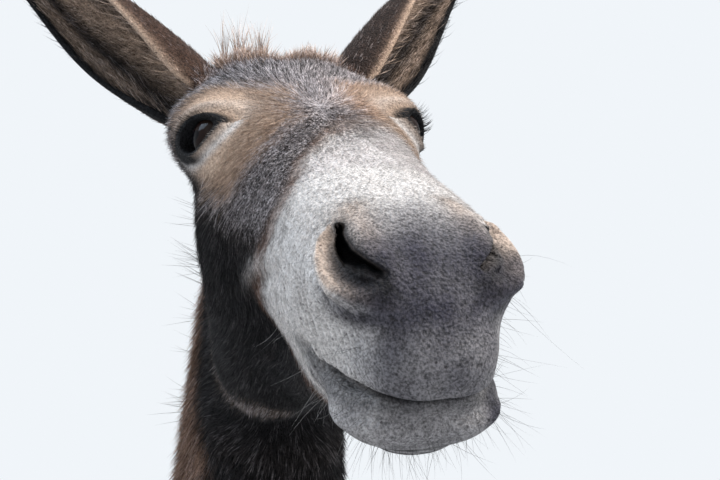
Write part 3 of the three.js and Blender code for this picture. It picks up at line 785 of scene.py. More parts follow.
WHORL = (0.022, 0.0, 0.034)  # where the hair of the forehead parts
CREST = ((-0.644, 1.472), (-0.277, 1.117))  # the neck's upper line, seen from the side
WHITE_FROM = (  # levels on the head, and how far forward the white nose begins at each
    (-0.150, -0.119, -0.110, -0.100, -0.081, -0.054, -0.034)
    + (-0.016, -0.006, 0.003, 0.010, 0.016, 0.019, 0.022),
    (0.205, 0.182, 0.168, 0.152, 0.137, 0.163, 0.172)
    + (0.176, 0.169, 0.157, 0.138, 0.114, 0.086, 0.066),
)
WHITE_TOP = (  # places across the forehead, and how far forward the white begins at each
    (-0.056, -0.047, -0.038, -0.023, -0.005, 0.010, 0.032, 0.050, 0.062),
    (0.172, 0.158, 0.138, 0.114, 0.085, 0.074, 0.064, 0.052, 0.080),
)
SLATE = (  # levels on the head, and how grey the muzzle is at each
    (-0.084, -0.076, -0.060, -0.045, -0.030, -0.008, 0.0, 0.006),
    (0.64, 0.82, 0.84, 0.86, 0.975, 0.965, 0.90, 0.80),
)
PATCH_ASIDE = (0.014, 0.006, 0.004)  # from the eye to the middle of the pale patch round it


class Places:
    """Points of the animal, and where they lie on its head, ears and neck."""

    def __init__(self, p):
        self.p, self.q = p, to_head(p)
        self.m, self.side = mirrored(self.q)
        self.ear_t, self.ear_turn, self.ear_off = ear_place(self.m)
        high, low = np.array(CREST)
        way = unit(low - high)
        self.down_neck = (p[:, 1:] - high) @ way
        self.below_crest = (p[:, 1:] - high) @ np.array((way[1], -way[0]))
        ahead = self.q[:, 0] + 0.19 - 0.385 * (0.03 - self.q[:, 2])
        near = (p[:, 1] < -0.55) & (p[:, 2] > 1.05)
        self.head = ramp(-0.02, 0.02, ahead) * ramp(-0.29, -0.235, self.q[:, 2]) * near
        ear = (np.abs(self.ear_off) < 0.009) & (np.abs(self.ear_turn) < 1.3)
        ear &= (self.ear_t > 0.02) & (self.ear_t < 1.1) & (self.q[:, 0] < -0.05)
        clear = np.zeros(len(p))
        clear[ear] = ramp(0.0, 0.006, head_flesh(self.q[ear].astype(np.float32)))
        self.ear = clear
        self.inner = clear * (self.ear_off < 0)
        self.eye = far_from(EYE_AT, self.m)
        self.body = (1 - self.head) * (1 - self.ear)


def patches(p, size, seed):
    """A soft random value between -1 and 1 that changes over about one size."""
    draw = np.random.default_rng(seed)
    total = np.zeros(len(p))
    for _ in range(9):
        way = draw.normal(size=3) * 2.2 / size
        total += np.sin(p @ way + draw.uniform(0, 6.283)) / 4.5
    return np.clip(total, -1, 1)


def clumps(p, way, size, seed):
    """The middle of the clump of hair each place belongs to, and a random value for the clump.

    Clumps are about one size across and three times as long along the hair."""
    cell = np.floor(p / size)
    best = np.full(len(p), np.inf)
    middles, luck = np.zeros_like(p), np.zeros(len(p))
    for step in np.ndindex(3, 3, 3):
        near = cell + np.array(step) - 1
        key = near @ np.array((127.1, 311.7, 74.7)) + seed
        chance = [np.modf(np.abs(np.sin(key * k) * 43758.5453))[0] for k in (1.0, 1.31, 1.73, 2.17)]
        middle = (near + np.stack(chance[:3], 1)) * size
        off = p - middle
        far = np.einsum("ij,ij->i", off, off) - 0.92 * np.einsum("ij,ij->i", off, way) ** 2
        closer = far < best
        best[closer], middles[closer], luck[closer] = far[closer], middle[closer], chance[3][closer]
    return middles, luck


def sway(p, size, other_size, seed):
    """How hair leans together along x and y, each way over its own size."""
    return np.column_stack((patches(p, size, seed), patches(p, other_size, seed + 1), np.zeros(len(p))))


def highest(*values):
    return np.clip(np.maximum.reduce(values), 0, 1)


def creases(m):
    """Creases that fan out over the lip from the corner of the mouth, from 0 to 1."""
    off = m - np.array(MOUTH_CORNER)
    bend = 0.0011 * np.sin(160 * m[:, 2] + 90 * m[:, 1]) + 0.0008 * np.sin(420 * m[:, 2] + 1.3)
    across = off[:, 0] + 0.30 * off[:, 2] + bend
    near = ramp(0.0, 0.010, off[:, 0]) * ramp(0.066, 0.040, off[:, 0]) * ramp(0.056, 0.034, off[:, 2])
    ridges = (0.5 + 0.5 * np.sin(2 * math.pi * across / CREASE_APART)) ** 1.6
    return ridges * near * ramp(-0.001, 0.005, mouth_gap(m))


class Face:
    """Places on the head beside the lines that its markings follow, and the masks that several share."""

    def __init__(self, at):
        m, p = at.m, at.p
        x, y, z = m.T
        head = at.head * (1 - at.ear)
        far = 1.0 * (at.side > 0)
        wave = 0.005 * patches(p, 0.020, 5) + 0.003 * patches(p, 0.008, 6)
        self.head, self.far, self.wave = head, far, wave

        begins = np.interp(z, *WHITE_FROM)
        begins += ramp(-0.026, 0.004, z) * (np.interp(at.q[:, 1], *WHITE_TOP) - begins)
        ahead = x - begins + wave
        soft_edge = -0.022 - 0.013 * ramp(-0.05, -0.01, z)
        self.nose = ramp(soft_edge, 0.012, ahead + 0.007 * patches(p, 0.0045, 21))
        self.fringe = 0.85 * bell(ahead + 0.016, 0.012) * head * ramp(-0.16, -0.12, z)
        self.below_fold = 0.55 * bell(ahead + 0.024, 0.018) * head
        self.below_fold *= ramp(-0.052, -0.062, z) * ramp(-0.110, -0.090, z)

        self.gap = mouth_gap(m)
        self.past_corner = x - 0.207 - 0.47 * (z + 0.092)
        self.lower_lip = ramp(0.002, -0.006, self.gap) * ramp(-0.002, 0.004, self.past_corner)
        self.slot, slot_at = from_chain(m, SLOT, SLOT_WIDE)
        self.rim, _ = from_chain(m, RIM, RIM_WIDE)
        self.beside = (m - slot_at) @ TO_RIM / np.interp(x, SHELF_AT, SHELF_WIDE)
        self.cream_rim = bell(self.rim - 0.001, 0.0052) * ramp(0.286, 0.264, x) * head
        self.far_rim = ramp(0.030, 0.040, at.q[:, 1]) * ramp(0.246, 0.262, x)
        # Below the nostril's rim: painted shade, and real dark specks.
        self.below_rim = ramp(1.02, 1.20, self.beside) * ramp(0.020, 0.008, self.rim)
        self.below_rim *= ramp(0.258, 0.270, x) * head
        self.pad = 0.62 * self.nose * ramp(0.195, 0.220, x)
        self.pad *= bell(y - 0.030, 0.014) * ramp(-0.030, -0.012, z)
        self.inside = ramp(0.10, 0.50, self.beside) * ramp(1.10, 0.95, self.beside)
        self.inside *= ramp(0.022, 0.014, self.slot) * (x > 0.225)

        top = ramp(-0.040, 0.014, x - 0.240 - 0.62 * y + 0.8 * wave) * ramp(-0.052, -0.036, z)
        lip = ramp(-0.036, 0.026, x - 0.240 - 0.98 * y + 0.8 * wave) * ramp(-0.008, -0.026, z)
        from_corner = far_from(MOUTH_CORNER, m)
        # The creases by the mouth's corner are greyer as painted shade.
        self.slate = highest(np.maximum(top, lip) + 0.28 * creases(m))
        self.slate *= np.interp(z, *SLATE) + 0.06 * patches(p, 0.011, 18)
        self.slate *= 1 - 0.75 * ramp(0.025, 0.009, from_corner)

        e = eye_place(m)
        lid = almond(e)
        self.lid, self.below_eye = lid, e[:, 1] * EYE_UP_SIGN < 0
        self.lid_near = head * (at.eye < 0.05)
        behind = ramp(0.3, -0.5, e[:, 0] / 0.03)
        ring = np.where(self.below_eye, ramp(1.42, 1.18, lid), ramp(1.62, 1.34, lid))
        self.lids = highest(ramp(2.1, 1.5, lid + 25 * wave) * (0.10 + 0.90 * behind), ring) * self.lid_near
        middle = np.array(EYE_AT) + np.array(PATCH_ASIDE)
        self.from_patch = far_from(middle, m) + wave
        self.tan = bell(self.from_patch - 0.055, 0.015) * head
        self.tan *= ramp(-0.060, -0.025, x) * ramp(-0.034, -0.010, z)

        jaw_edge, _ = from_chain(m, JAW_EDGE)
        # Painted rim light along the jaw's edge, over its pale hairs.
        self.jaw_edge_pale_and_lit = bell(jaw_edge, 0.0100) * ramp(-0.110, -0.180, z) * head
        self.jaw = ramp(-0.030, -0.060, z) * ramp(0.19, 0.11, x) * head
        self.jaw *= 0.96 - 0.34 * ramp(0.2, 1.2, patches(p, 0.0045, 23) + 0.6 * patches(p, 0.016, 24))


def nostril_shade(at, face):
    """Painted shade in the nostril's slot and on its shelf, less on the left side, and a painted shadow in
    the groove at its top on the right side only.
    """
    x = at.m[:, 0]
    near_slot = np.where(face.beside > 0, ramp(0.0200, 0.0040, face.slot), ramp(0.0065, 0.0, face.slot))
    shelf = (0.88 - 0.35 * face.far) * near_slot * ramp(1.05, 0.80, face.beside)
    shelf *= (1 - 0.85 * face.cream_rim) * np.where(face.far > 0, ramp(*FAR_TOP, x), 1.0)
    groove, _ = from_chain(at.m, NOSTRIL_TOP, NOSTRIL_TOP_WIDE)
    return highest(shelf, 0.82 * ramp(0.0080, 0.0, groove) * (1 - face.far))


def white_marks(at, face):
    """White on the nose, belly and inner legs, below the eye and along the lower lip's end, and a painted
    highlight along the cheek fold.
    """
    p, z = at.p, at.m[:, 2]
    cheek_fold, _ = from_chain(at.m, CHEEK_FOLD, FOLD_WIDE)
    # Painted highlight along the ridge of the cheek fold.
    fold_highlight = bell(cheek_fold, 0.0046) * ramp(-0.100, -0.060, z)
    aside = np.abs(p[:, 0])
    under = p[:, 2] + 0.30 * aside + 0.03 * patches(p, 0.10, 7)
    belly = ramp(0.735, 0.655, under) * ramp(0.50, 0.60, p[:, 2])
    belly *= ramp(0.150, 0.110, aside) * ramp(-0.33, -0.26, p[:, 1])
    inner_leg = 0.7 * ramp(0.105, 0.070, aside) * ramp(0.72, 0.60, p[:, 2])
    white = highest(face.nose, 0.52 * fold_highlight) * face.head
    white = highest(white, belly * at.body, inner_leg * at.body)
    white *= 1 - highest(0.30 * face.cream_rim * (1 - face.far_rim), face.pad, 0.75 * face.inside)
    above = 0.22 * bell(face.lid - 2.10, 0.35)
    streak = face.lid_near * np.where(face.below_eye, 0.80 * bell(face.lid - 1.66, 0.32), above)
    lip_edge = bell(face.past_corner + 0.003, 0.0026) * ramp(0.002, -0.006, face.gap)
    lip_edge *= ramp(-0.130, -0.110, z)
    return highest(white, streak, 0.7 * lip_edge * face.head)


def grey_marks(at, face):
    """Slate grey on muzzle and lips, and painted shade under the nostril's rim."""
    lip_grey = 0.54 + 0.44 * ramp(0.015, 0.045, at.q[:, 1]) + 0.13 * patches(at.p, 0.013, 16)
    grey = highest(face.slate, face.lower_lip * lip_grey, 0.85 * face.below_rim)
    grey = grey * (1 - 0.95 * face.cream_rim * (1 - face.far_rim))
    return highest(grey, 0.80 * face.far_rim) * face.head


def neck_marks(at):
    """Red on the neck behind a sharp line down it, and black in front of that line."""
    p = at.p
    width = 0.007 + 0.050 * ramp(1.24, 1.08, p[:, 2])
    behind_throat = (p[:, 1] + 0.593 + 0.22 * (p[:, 2] - 1.2)) / width + 0.5 * patches(p, 0.030, 20)
    crest = 0.9 * ramp(-1, 1, behind_throat)
    crest *= ramp(-0.24, -0.48, p[:, 1] + 0.06 * patches(p, 0.08, 19))
    crest *= ramp(0.94, 1.20, p[:, 2] + 0.04 * patches(p, 0.06, 22)) * at.body
    return crest, ramp(1, -1, behind_throat) * at.body * ramp(1.0, 1.12, p[:, 2])


def cream_marks(at, face, strip, crest):
    """Cream round eye and nostril and in the ears, faint on the neck, and faint on the jaw edge as pale
    hairs under painted rim light.
    """
    x, _, z = at.m.T
    turn = at.ear_turn
    brow = ramp(-0.050, -0.010, x + 0.6 * (z - 0.01) + 0.012)
    round_eye = ramp(0.078, 0.054, face.from_patch) * brow * face.head
    round_eye *= (1 - 0.26 * face.tan - 0.24 * face.far) * ramp(-0.038, -0.014, z)
    golden = bell(turn - 0.05, 0.27) * (0.75 + 0.25 * patches(at.p, 0.012, 14))
    in_ear = highest(golden, 0.42 * ramp(0.45, 0.62, turn), 0.8 * ramp(-0.5, -0.8, turn))
    return highest(
        round_eye,
        0.95 * face.cream_rim * (1 - 0.4 * face.far_rim),
        highest(face.pad, 0.60 * face.inside) * face.head,
        at.inner * in_ear,
        0.85 * at.ear * strip,
        0.22 * crest,
        0.40 * face.jaw_edge_pale_and_lit,
    )


def ear_black(at, face, strip):
    """Dark rim, tip, back and hollow of the ears, darker on the left one."""
    back = at.ear * (1 - at.inner)
    hollow = (0.66 + 0.26 * face.far) * bell(at.ear_turn - 0.46, 0.10 + 0.09 * face.far)
    hollow *= (0.55 + 0.6 * patches(at.p, 0.026, 12)) * at.inner
    tip = 0.8 * back * ramp(0.70, 1.0, at.ear_t)
    edge = at.ear * ramp(0.80, 0.90, at.ear_turn)
    return highest(edge, tip, (0.60 + 0.24 * face.far) * back * (1 - strip), hollow), edge


def face_black(at, face, shelf):
    """Black lids and fine chin lines, and painted shade in the mouth's line, under the upper lip and in the
    nostrils, with a fine painted shadow line under the nostril's rim.
    """
    x, gap = at.m[:, 0], face.gap
    # Painted shade along the line between the lips, and more below it under the upper lip.
    mouth = highest(0.98 * bell(gap, 0.0031), 0.46 * bell(gap + 0.0052, 0.0060)) * ramp(0.2150, 0.2195, x)
    # Painted shadow: a fine dark line under the nostril's rim.
    shadow_line_under_rim = 0.70 * bell(face.rim - 0.0080, 0.0024) * ramp(1.1, 1.4, face.beside) * ramp(0.246, 0.260, x)
    specks = 0.60 * face.below_rim * ramp(0.0, 0.5, patches(at.p, 0.0065, 15))
    chin = ramp(-0.024, -0.038, gap) * ramp(0.17, 0.21, x)
    lines = np.sin(2 * math.pi * (gap + face.wave * 0.5) / 0.0072)
    chin_lines = 0.82 * chin * ramp(-0.3, 0.6, lines) * ramp(0.22, 0.25, x)
    # Painted shade under the upper lip, near the mouth's corner.
    shade_under_lip = 0.55 * bell(gap + 0.006, 0.006) * ramp(0.262, 0.222, x) * ramp(0.196, 0.206, x)
    return highest(face.lids, highest(mouth, shelf, shadow_line_under_rim, specks, chin_lines, shade_under_lip) * face.head)


def body_black(p):
    """The stripe along the back, the cross over the shoulders, and dark feet."""
    spine = bell(p[:, 0], 0.013) * ramp(1.08, 1.12, p[:, 2]) * ramp(-0.40, -0.34, p[:, 1])
    cross = bell(p[:, 1] + 0.335 + 0.12 * (1.15 - p[:, 2]), 0.014) * ramp(0.93, 1.0, p[:, 2])
    return 0.85 * highest(spine, cross) + 0.6 * ramp(0.17, 0.10, p[:, 2])


def silver_marks(at, face, crest):
    """Frost on forehead, cheek and neck, pale hairs with painted rim light on the jaw edge, and thinly
    everywhere but the nose a painted sheen on the lit clumps.
    """
    x, _, z = at.m.T
    head = face.head
    away = highest(ramp(0.046, 0.066, face.from_patch), ramp(-0.014, -0.032, z) * ramp(-0.02, 0.01, x))
    brow_frost = 0.60 * ramp(-0.030, 0.010, z) * ramp(0.15, 0.08, x) * ramp(-0.150, -0.090, x)
    from_star = np.linalg.norm(at.q - np.array(WHORL) + np.array((0.02, 0, 0)), axis=1)
    side_frost = 0.58 * ramp(-0.058, -0.026, z) * ramp(0.175, 0.14, x)
    frost = highest(brow_frost + 0.22 * bell(from_star, 0.030), side_frost) * away * (1 - 0.45 * face.fringe)
    # Pale hairs and painted rim light along the jaw's edge.
    jaw_edge_frost_and_light = 0.72 * face.jaw_edge_pale_and_lit * (0.85 + 0.25 * patches(at.p, 0.02, 17))
    # Painted sheen: on its own this is too thin to frost, and only lightens the lit clumps in the coat's
    # shader.
    fine = 0.19 * head * (1 - 0.55 * face.jaw) + 0.10 * at.body + 0.22 * at.ear
    fine = fine * (1 - face.nose * head) * (0.3 + 0.7 * away)
    lip_frost = highest(0.30 * face.slate * ramp(-0.034, -0.058, z), 0.25 * face.lower_lip)
    lip_frost = lip_frost * (1 - 0.9 * bell(face.gap, 0.004)) * head
    return highest(highest(frost, jaw_edge_frost_and_light) * head, 0.34 * crest, fine, lip_frost)


def markings(at):
    """White, lip grey and cream, then red, black and silver, each from 0 to 1."""
    face = Face(at)
    x, _, z = at.m.T
    strip = ramp(-0.90, -0.97, at.ear_turn) * ramp(0.0, 0.10, at.ear_t)
    crest, throat = neck_marks(at)
    white = white_marks(at, face)
    poll = 0.55 * ramp(-0.09, -0.135, x) * ramp(0.0, 0.03, z) * face.head
    red = highest(face.fringe, face.below_fold, face.tan, poll, crest, 0.85 * at.ear * (1 - at.inner))
    # Painted shade of the nostrils.
    shelf = nostril_shade(at, face)
    on_ear, ear_edge = ear_black(at, face, strip)
    # The jaw edge's painted rim light and pale hairs take the black away there.
    dark = highest(face.jaw, 0.97 * throat) * (1 - 0.95 * white) * (1 - 0.9 * face.jaw_edge_pale_and_lit)
    dark = dark * (1 - 0.8 * face.below_fold) * (1 - 0.8 * face.fringe)
    black = highest(dark, on_ear, body_black(at.p) * at.body, face_black(at, face, shelf))
    silver = silver_marks(at, face, crest) * (1 - face.lids) * (1 - ear_edge) * (1 - shelf * face.head)
    pale = np.stack((white, grey_marks(at, face), cream_marks(at, face, strip, crest)), 1)
    return pale, np.stack((red, black, silver), 1)


def lie(at, normals):
    """Which way the hair runs over the skin, as unit vectors along it."""
    q, p = at.q, at.p
    under = ramp(-0.10, -0.15, q[:, 2])[:, None]
    way = unit_rows(q - np.array(WHORL)) * (1 - 0.8 * under) + under * np.array((-0.6, 0, -0.6))
    fold = both_sides(at.side)
    from_eye = unit_rows((at.m - np.array(EYE_AT)) * fold)
    way += 1.2 * ramp(0.050, 0.026, at.eye)[:, None] * from_eye
    way = way @ HEAD
    tip = (EAR_UP * fold) @ HEAD
    outwards = (np.sign(at.ear_turn)[:, None] * EAR_WAYS[1] * fold) @ HEAD
    ear = tip + 0.5 * at.inner[:, None] * outwards
    body = np.array((0.0, 0.42, -0.90)) + ramp(-0.50, -0.25, p[:, 1])[:, None] * np.array((0.0, 0.5, 0.5))
    down = ramp(0.70, 0.56, p[:, 2])[:, None]
    body = body * (1 - down) + down * np.array((0.0, 0.12, -1.0))
    way = way * at.head[:, None] + body * (1 - at.head)[:, None]
    way = np.where(at.ear[:, None] > 0.3, ear, way)
    way = way - normals * np.einsum("ij,ij->i", way, normals)[:, None]
    return unit_rows(way)


# ---------------- unwrap

CHARTS = {  # lowest corner and size of each part's patch of the unit square
    "head": (0.00, 0.46, 0.52, 0.54),
    "ear_left": (0.53, 0.72, 0.23, 0.28),
    "ear_right": (0.77, 0.72, 0.23, 0.28),
    "neck": (0.53, 0.46, 0.47, 0.25),
    "trunk": (0.00, 0.00, 0.62, 0.45),
    "legs": (0.63, 0.00, 0.37, 0.45),
}
CHART_EDGE = 0.006  # left free inside each of them
TUFT_SPOT = 0.0014  # half the size of one tuft's place there


def unwrap(at):
    """Each point's spot on a flat unwrap of the skin, part by part."""
    p, q = at.p, at.q
    spot = np.zeros((len(p), 2))

    def lay(name, chosen, across, along):
        u, v, wide, tall = CHARTS[name]
        spot[chosen, 0] = u + CHART_EDGE + np.clip(across[chosen], 0, 1) * (wide - 2 * CHART_EDGE)
        spot[chosen, 1] = v + CHART_EDGE + np.clip(along[chosen], 0, 1) * (tall - 2 * CHART_EDGE)

    def around(sideways, up):
        return 0.5 + np.arctan2(sideways, up) / (2 * math.pi)

    lay("trunk", np.ones(len(p), bool), around(p[:, 0], p[:, 2] - 0.90), (p[:, 1] + 0.65) / 1.35)
    on_neck = (p[:, 1] < -0.36) & (p[:, 2] > 0.93 + (p[:, 1] + 0.60) * 1.1)
    lay("neck", on_neck, around(p[:, 0], 0.12 - at.below_crest), (p[:, 2] - 0.85) / 0.70)
    lay("head", at.head > 0.5, around(q[:, 1], q[:, 2] + 0.055), (q[:, 0] + 0.24) / 0.56)
    face = np.where(at.inner > 0, 0.25, 0.75) + at.ear_turn * 0.2
    lay("ear_left", (at.ear > 0.3) & (at.side > 0), face, at.ear_t)
    lay("ear_right", (at.ear > 0.3) & (at.side < 0), face, at.ear_t)
    front = p[:, 1] < 0
    centre = np.where(front, -0.35, 0.50)
    share = around(np.abs(p[:, 0]) - 0.11, p[:, 1] - centre)
    quarter = np.where(front, 0, 2) + (p[:, 0] < 0)
    on_leg = (p[:, 2] < 0.62) & (np.abs(p[:, 0]) > 0.03)
    lay("legs", on_leg, (quarter + 0.04 + 0.92 * share) / 4, p[:, 2] / 0.66)
    return spot


# ---------------- tufts


def write_values(mesh, **values):
    """Stores named values or vectors on a mesh's points."""
    for name, rows in values.items():
        wide = rows.ndim > 1
        layer = mesh.attributes.new(name, "FLOAT_VECTOR" if wide else "FLOAT", "POINT")
        layer.data.foreach_set("vector" if wide else "value", rows.astype(np.float32).ravel())


def read_points(mesh):
    """The points of a mesh in the design's place, and their outward ways."""
    co = np.empty(len(mesh.vertices) * 3, np.float32)
    mesh.vertices.foreach_get("co", co)
    normal = np.empty(len(co), np.float32)
    mesh.vertex_normals.foreach_get("vector", normal)
    return co.reshape(-1, 3).astype(float) - SHIFT, normal.reshape(-1, 3).astype(float)


def hair_mesh(name, centres, widths, flat, normals, marks, spots, draw, luck=None):
    """Closed three-sided tufts as one object.

    centres holds each tuft's middle line, root first and tip last; widths its width at all but the tip;
    luck two random values for each tuft."""
    count, rings = widths.shape
    per = 3 * rings + 1
    ways = unit_rows(centres[:, 1] - centres[:, 0])
    across = unit_rows(np.cross(ways, normals))
    over = np.cross(across, ways)
    turn = draw.uniform(0, 2 * math.pi, count)
    points = np.empty((count, per, 3))
    along = np.empty((count, per))
    for r in range(rings):
        for k in range(3):
            a = turn + 2 * math.pi * k / 3
            side = across * np.cos(a)[:, None] + over * (flat * np.sin(a))[:, None]
            points[:, 3 * r + k] = centres[:, r] + side * (0.5 * widths[:, r])[:, None]
            along[:, 3 * r + k] = r / rings
    points[:, -1] = centres[:, -1]
    along[:, -1] = 1
    pattern = [(2, 1, 0)]
    for r in range(rings - 1):
        for k in range(3):
            a, b = 3 * r + k, 3 * r + (k + 1) % 3
            pattern += [(a, b, b + 3), (a, b + 3, a + 3)]
    last = 3 * (rings - 1)
    pattern += [(last + k, last + (k + 1) % 3, 3 * rings) for k in range(3)]
    corners = (np.arange(count)[:, None, None] * per + np.array(pattern)[None]).reshape(-1)
    mesh = bpy.data.meshes.new(name)
    mesh.vertices.add(count * per)
    mesh.vertices.foreach_set("co", (points + SHIFT).astype(np.float32).ravel())
    mesh.loops.add(len(corners))
    mesh.loops.foreach_set("vertex_index", corners.astype(np.int32))
    mesh.polygons.add(len(corners) // 3)
    mesh.polygons.foreach_set("loop_start", np.arange(0, len(corners), 3, dtype=np.int32))
    mesh.update(calc_edges=True)
    smooth(mesh)
    luck = draw.uniform(size=(count, 2)) if luck is None else luck
    luck = np.repeat(luck, per, 0)
    strand = np.column_stack((along.ravel(), luck))
    marks_a, marks_b = (np.repeat(rows, per, 0) for rows in marks)
    write_values(mesh, marks_a=marks_a, marks_b=marks_b, strand=strand)
    patch = [(k - 1, 2 * r / rings - 1) for r in range(rings) for k in range(3)] + [(0, 1)]
    patch = TUFT_SPOT * np.array(patch)
    spread = (spots[:, None, :] + patch[None]).reshape(-1, 2)
    bake = mesh.uv_layers.new(name="OFBake")
    bake.data.foreach_set("uv", spread[corners].astype(np.float32).ravel())
    return add_object(name, mesh)


def coat_kind(at):
    """Length, width, number to a square metre and lift of the coat at each place."""
    eye_fur = ramp(0.050, 0.028, at.eye) * at.head
    leg = ramp(0.68, 0.55, at.p[:, 2])
    neck = at.body * ramp(-0.30, -0.42, at.p[:, 1]) * ramp(0.85, 1.0, at.p[:, 2])
    behind_throat = at.p[:, 1] + 0.60 + 0.22 * (at.p[:, 2] - 1.2)
    crest = at.body * bell(at.down_neck - 0.20, 0.17) * ramp(-0.02, 0.02, behind_throat)
    kinds = np.tile(np.array((0.0210, 0.0025, 35e3, 0.34)), (len(at.p), 1))
    for share, kind in (
        (leg, (0.0100, 0.0015, 84e3, 0.30)),
        (ramp(0.115, 0.085, at.p[:, 2]), (0.0200, 0.0012, 160e3, 0.34)),
        (neck, (0.0130, 0.0011, 140e3, 0.36)),
        (crest, (0.0180, 0.0010, 125e3, 0.46)),
        (at.head, (0.0110, 0.00070, 440e3, 0.30)),
        (at.head * ramp(0.03, 0.15, at.q[:, 0]), (0.0062, 0.00050, 600e3, 0.25)),
        (at.head * ramp(0.20, 0.25, at.q[:, 0]), (0.0024, 0.00034, 750e3, 0.24)),
        (eye_fur, (0.0042, 0.00042, 650e3, 0.22)),
        (at.ear, (0.0075, 0.00070, 230e3, 0.20)),
        (at.inner, (0.0110, 0.00062, 260e3, 0.46)),
        (at.ear * ramp(0.78, 0.90, np.abs(at.ear_turn)), (0.0060, 0.00060, 260e3, 0.16)),
    ):
        kinds += share[:, None] * (np.array(kind) - kinds)
    return kinds.T


def scatter(skin, chosen, fullness, draw):
    """Random roots on the chosen triangles of the skin, as close together as the coat grows there."""
    mesh = skin.data
    co, normal = read_points(mesh)
    bare = np.empty(len(mesh.vertices), np.float32)
    mesh.attributes["bare"].data.foreach_get("value", bare)
    mesh.calc_loop_triangles()
    tri = np.empty(len(mesh.loop_triangles) * 3, np.int32)
    mesh.loop_triangles.foreach_get("vertices", tri)
    tri = tri.reshape(-1, 3)
    a, b, c = (co[tri[:, k]] for k in range(3))
    area = np.linalg.norm(np.cross(b - a, c - a), axis=1) / 2
    at = Places((a + b + c) / 3)
    want = area * coat_kind(at)[2] * fullness * chosen(at)
    total = int(want.sum())
    picked = tri[draw.choice(len(want), total, p=want / want.sum())]
    u, v = draw.uniform(size=(2, total))
    over = u + v > 1
    u[over], v[over] = 1 - u[over], 1 - v[over]
    share = np.stack((1 - u - v, u, v), 1)
    place = (co[picked] * share[:, :, None]).sum(1)
    out = unit_rows((normal[picked] * share[:, :, None]).sum(1))
    keep = draw.uniform(size=total) > (bare[picked] * share).sum(1) * 1.3
    return place[keep], out[keep]


# How wide the clumps are that the tufts lean together in.
CLUMP = {"head": 0.0026, "ears": 0.0040, "neck": 0.0050, "trunk": 0.0090, "legs": 0.0050}
MOST_TUFTS = 49000  # in one piece


def on_neck(at):
    return (at.down_neck < 0.46) & (at.p[:, 1] < -0.2) & (at.p[:, 2] > 0.95)


COAT_REGIONS = {
    "head": lambda at: (at.head > 0.5) & (at.ear < 0.3),
    "ears": lambda at: at.ear >= 0.3,
    "neck": lambda at: (at.head <= 0.5) & (at.ear < 0.3) & on_neck(at),
    "legs": lambda at: at.p[:, 2] < 0.62,
}


def in_region(at, region):
    """Which places belong to a region of the coat; the trunk is what the others leave."""
    if region in COAT_REGIONS:
        return COAT_REGIONS[region](at)
    rest = np.ones(len(at.p), bool)
    for chosen in COAT_REGIONS.values():
        rest &= ~chosen(at)
    return rest


def grow_coat(skin, region, fullness, long, seed):
    """Short tufts all over one region, in as many pieces as it takes."""
    draw = np.random.default_rng(seed)
    roots, out = scatter(skin, lambda at: in_region(at, region), fullness, draw)
    at = Places(roots)
    length, width, _, lift = coat_kind(at)
    length = length * long * draw.uniform(0.65, 1.30, len(roots))
    lift = lift + 0.10 * draw.normal(size=len(roots)) + 0.08 * patches(roots, 0.025, seed)
    lift = np.clip(lift, 0.08, 0.9)
    way = lie(at, out)
    side = np.cross(out, way)
    aslant = 0.16 * draw.normal(size=len(roots)) + 0.30 * patches(roots, 0.030, seed + 1)
    way = unit_rows(way + side * aslant[:, None])
    ways = unit_rows(way + out * np.tan(lift)[:, None])
    middles, together = clumps(roots, way, CLUMP[region], seed)
    aside = roots - middles
    along, above = (np.einsum("ij,ij->i", aside, v)[:, None] for v in (way, out))
    aside -= way * along + out * above
    first = roots - out * 0.0006
    tips = first + ways * length[:, None] - aside * np.minimum(0.7, 140 * length)[:, None] * 0.7
    centres = np.stack((first, tips), 1)
    own = draw.uniform(size=(2, len(roots)))
    luck = np.stack((0.55 * together + 0.45 * own[0], 0.6 * np.modf(together * 7.3)[0] + 0.4 * own[1]), 1)
    near = roots + draw.normal(size=roots.shape) * (0.30 * length * (1 - 0.9 * at.ear))[:, None]
    marks = markings(Places(near))
    order = np.argsort(at.side * 10 + roots[:, 1])
    made = []
    for part, rows in enumerate(np.array_split(order, -(-len(order) // MOST_TUFTS))):
        name = f"coat_{region}_{part + 1}"
        picked = (centres[rows], width[rows, None], 0.6, out[rows], (marks[0][rows], marks[1][rows]))
        made.append(hair_mesh(name, *picked, unwrap(Places(roots[rows])), draw, luck[rows]))
    return made


def long_hair(name, roots, ways, droop, length, width, rings, marks, normals, draw):
    """Longer hairs that bend by droop towards their tips, as one object."""
    steps = np.linspace(0, 1, rings + 1)[None, :, None]
    centres = roots[:, None] + (ways[:, None] * steps + droop[:, None] * steps**2) * length[:, None, None]
    widths = width[:, None] * (1 - np.linspace(0, 1, rings + 1)[None, :-1]) ** 0.6
    return hair_mesh(name, centres, widths, 1.0, normals, marks, unwrap(Places(roots)), draw)


# ---------------- colours

COAT_COLOURS = ("Brown", "Pale", "Lip grey", "Cream", "Red", "Black", "Silver")
FLECK_COLOUR = (0.26, 0.24, 0.25, 1.0)  # what dark flecks leave of the colour under them
PUPIL_COLOUR = (0.002, 0.002, 0.003, 1.0)
EYE_RIM_COLOUR = (0.016, 0.010, 0.008, 1.0)


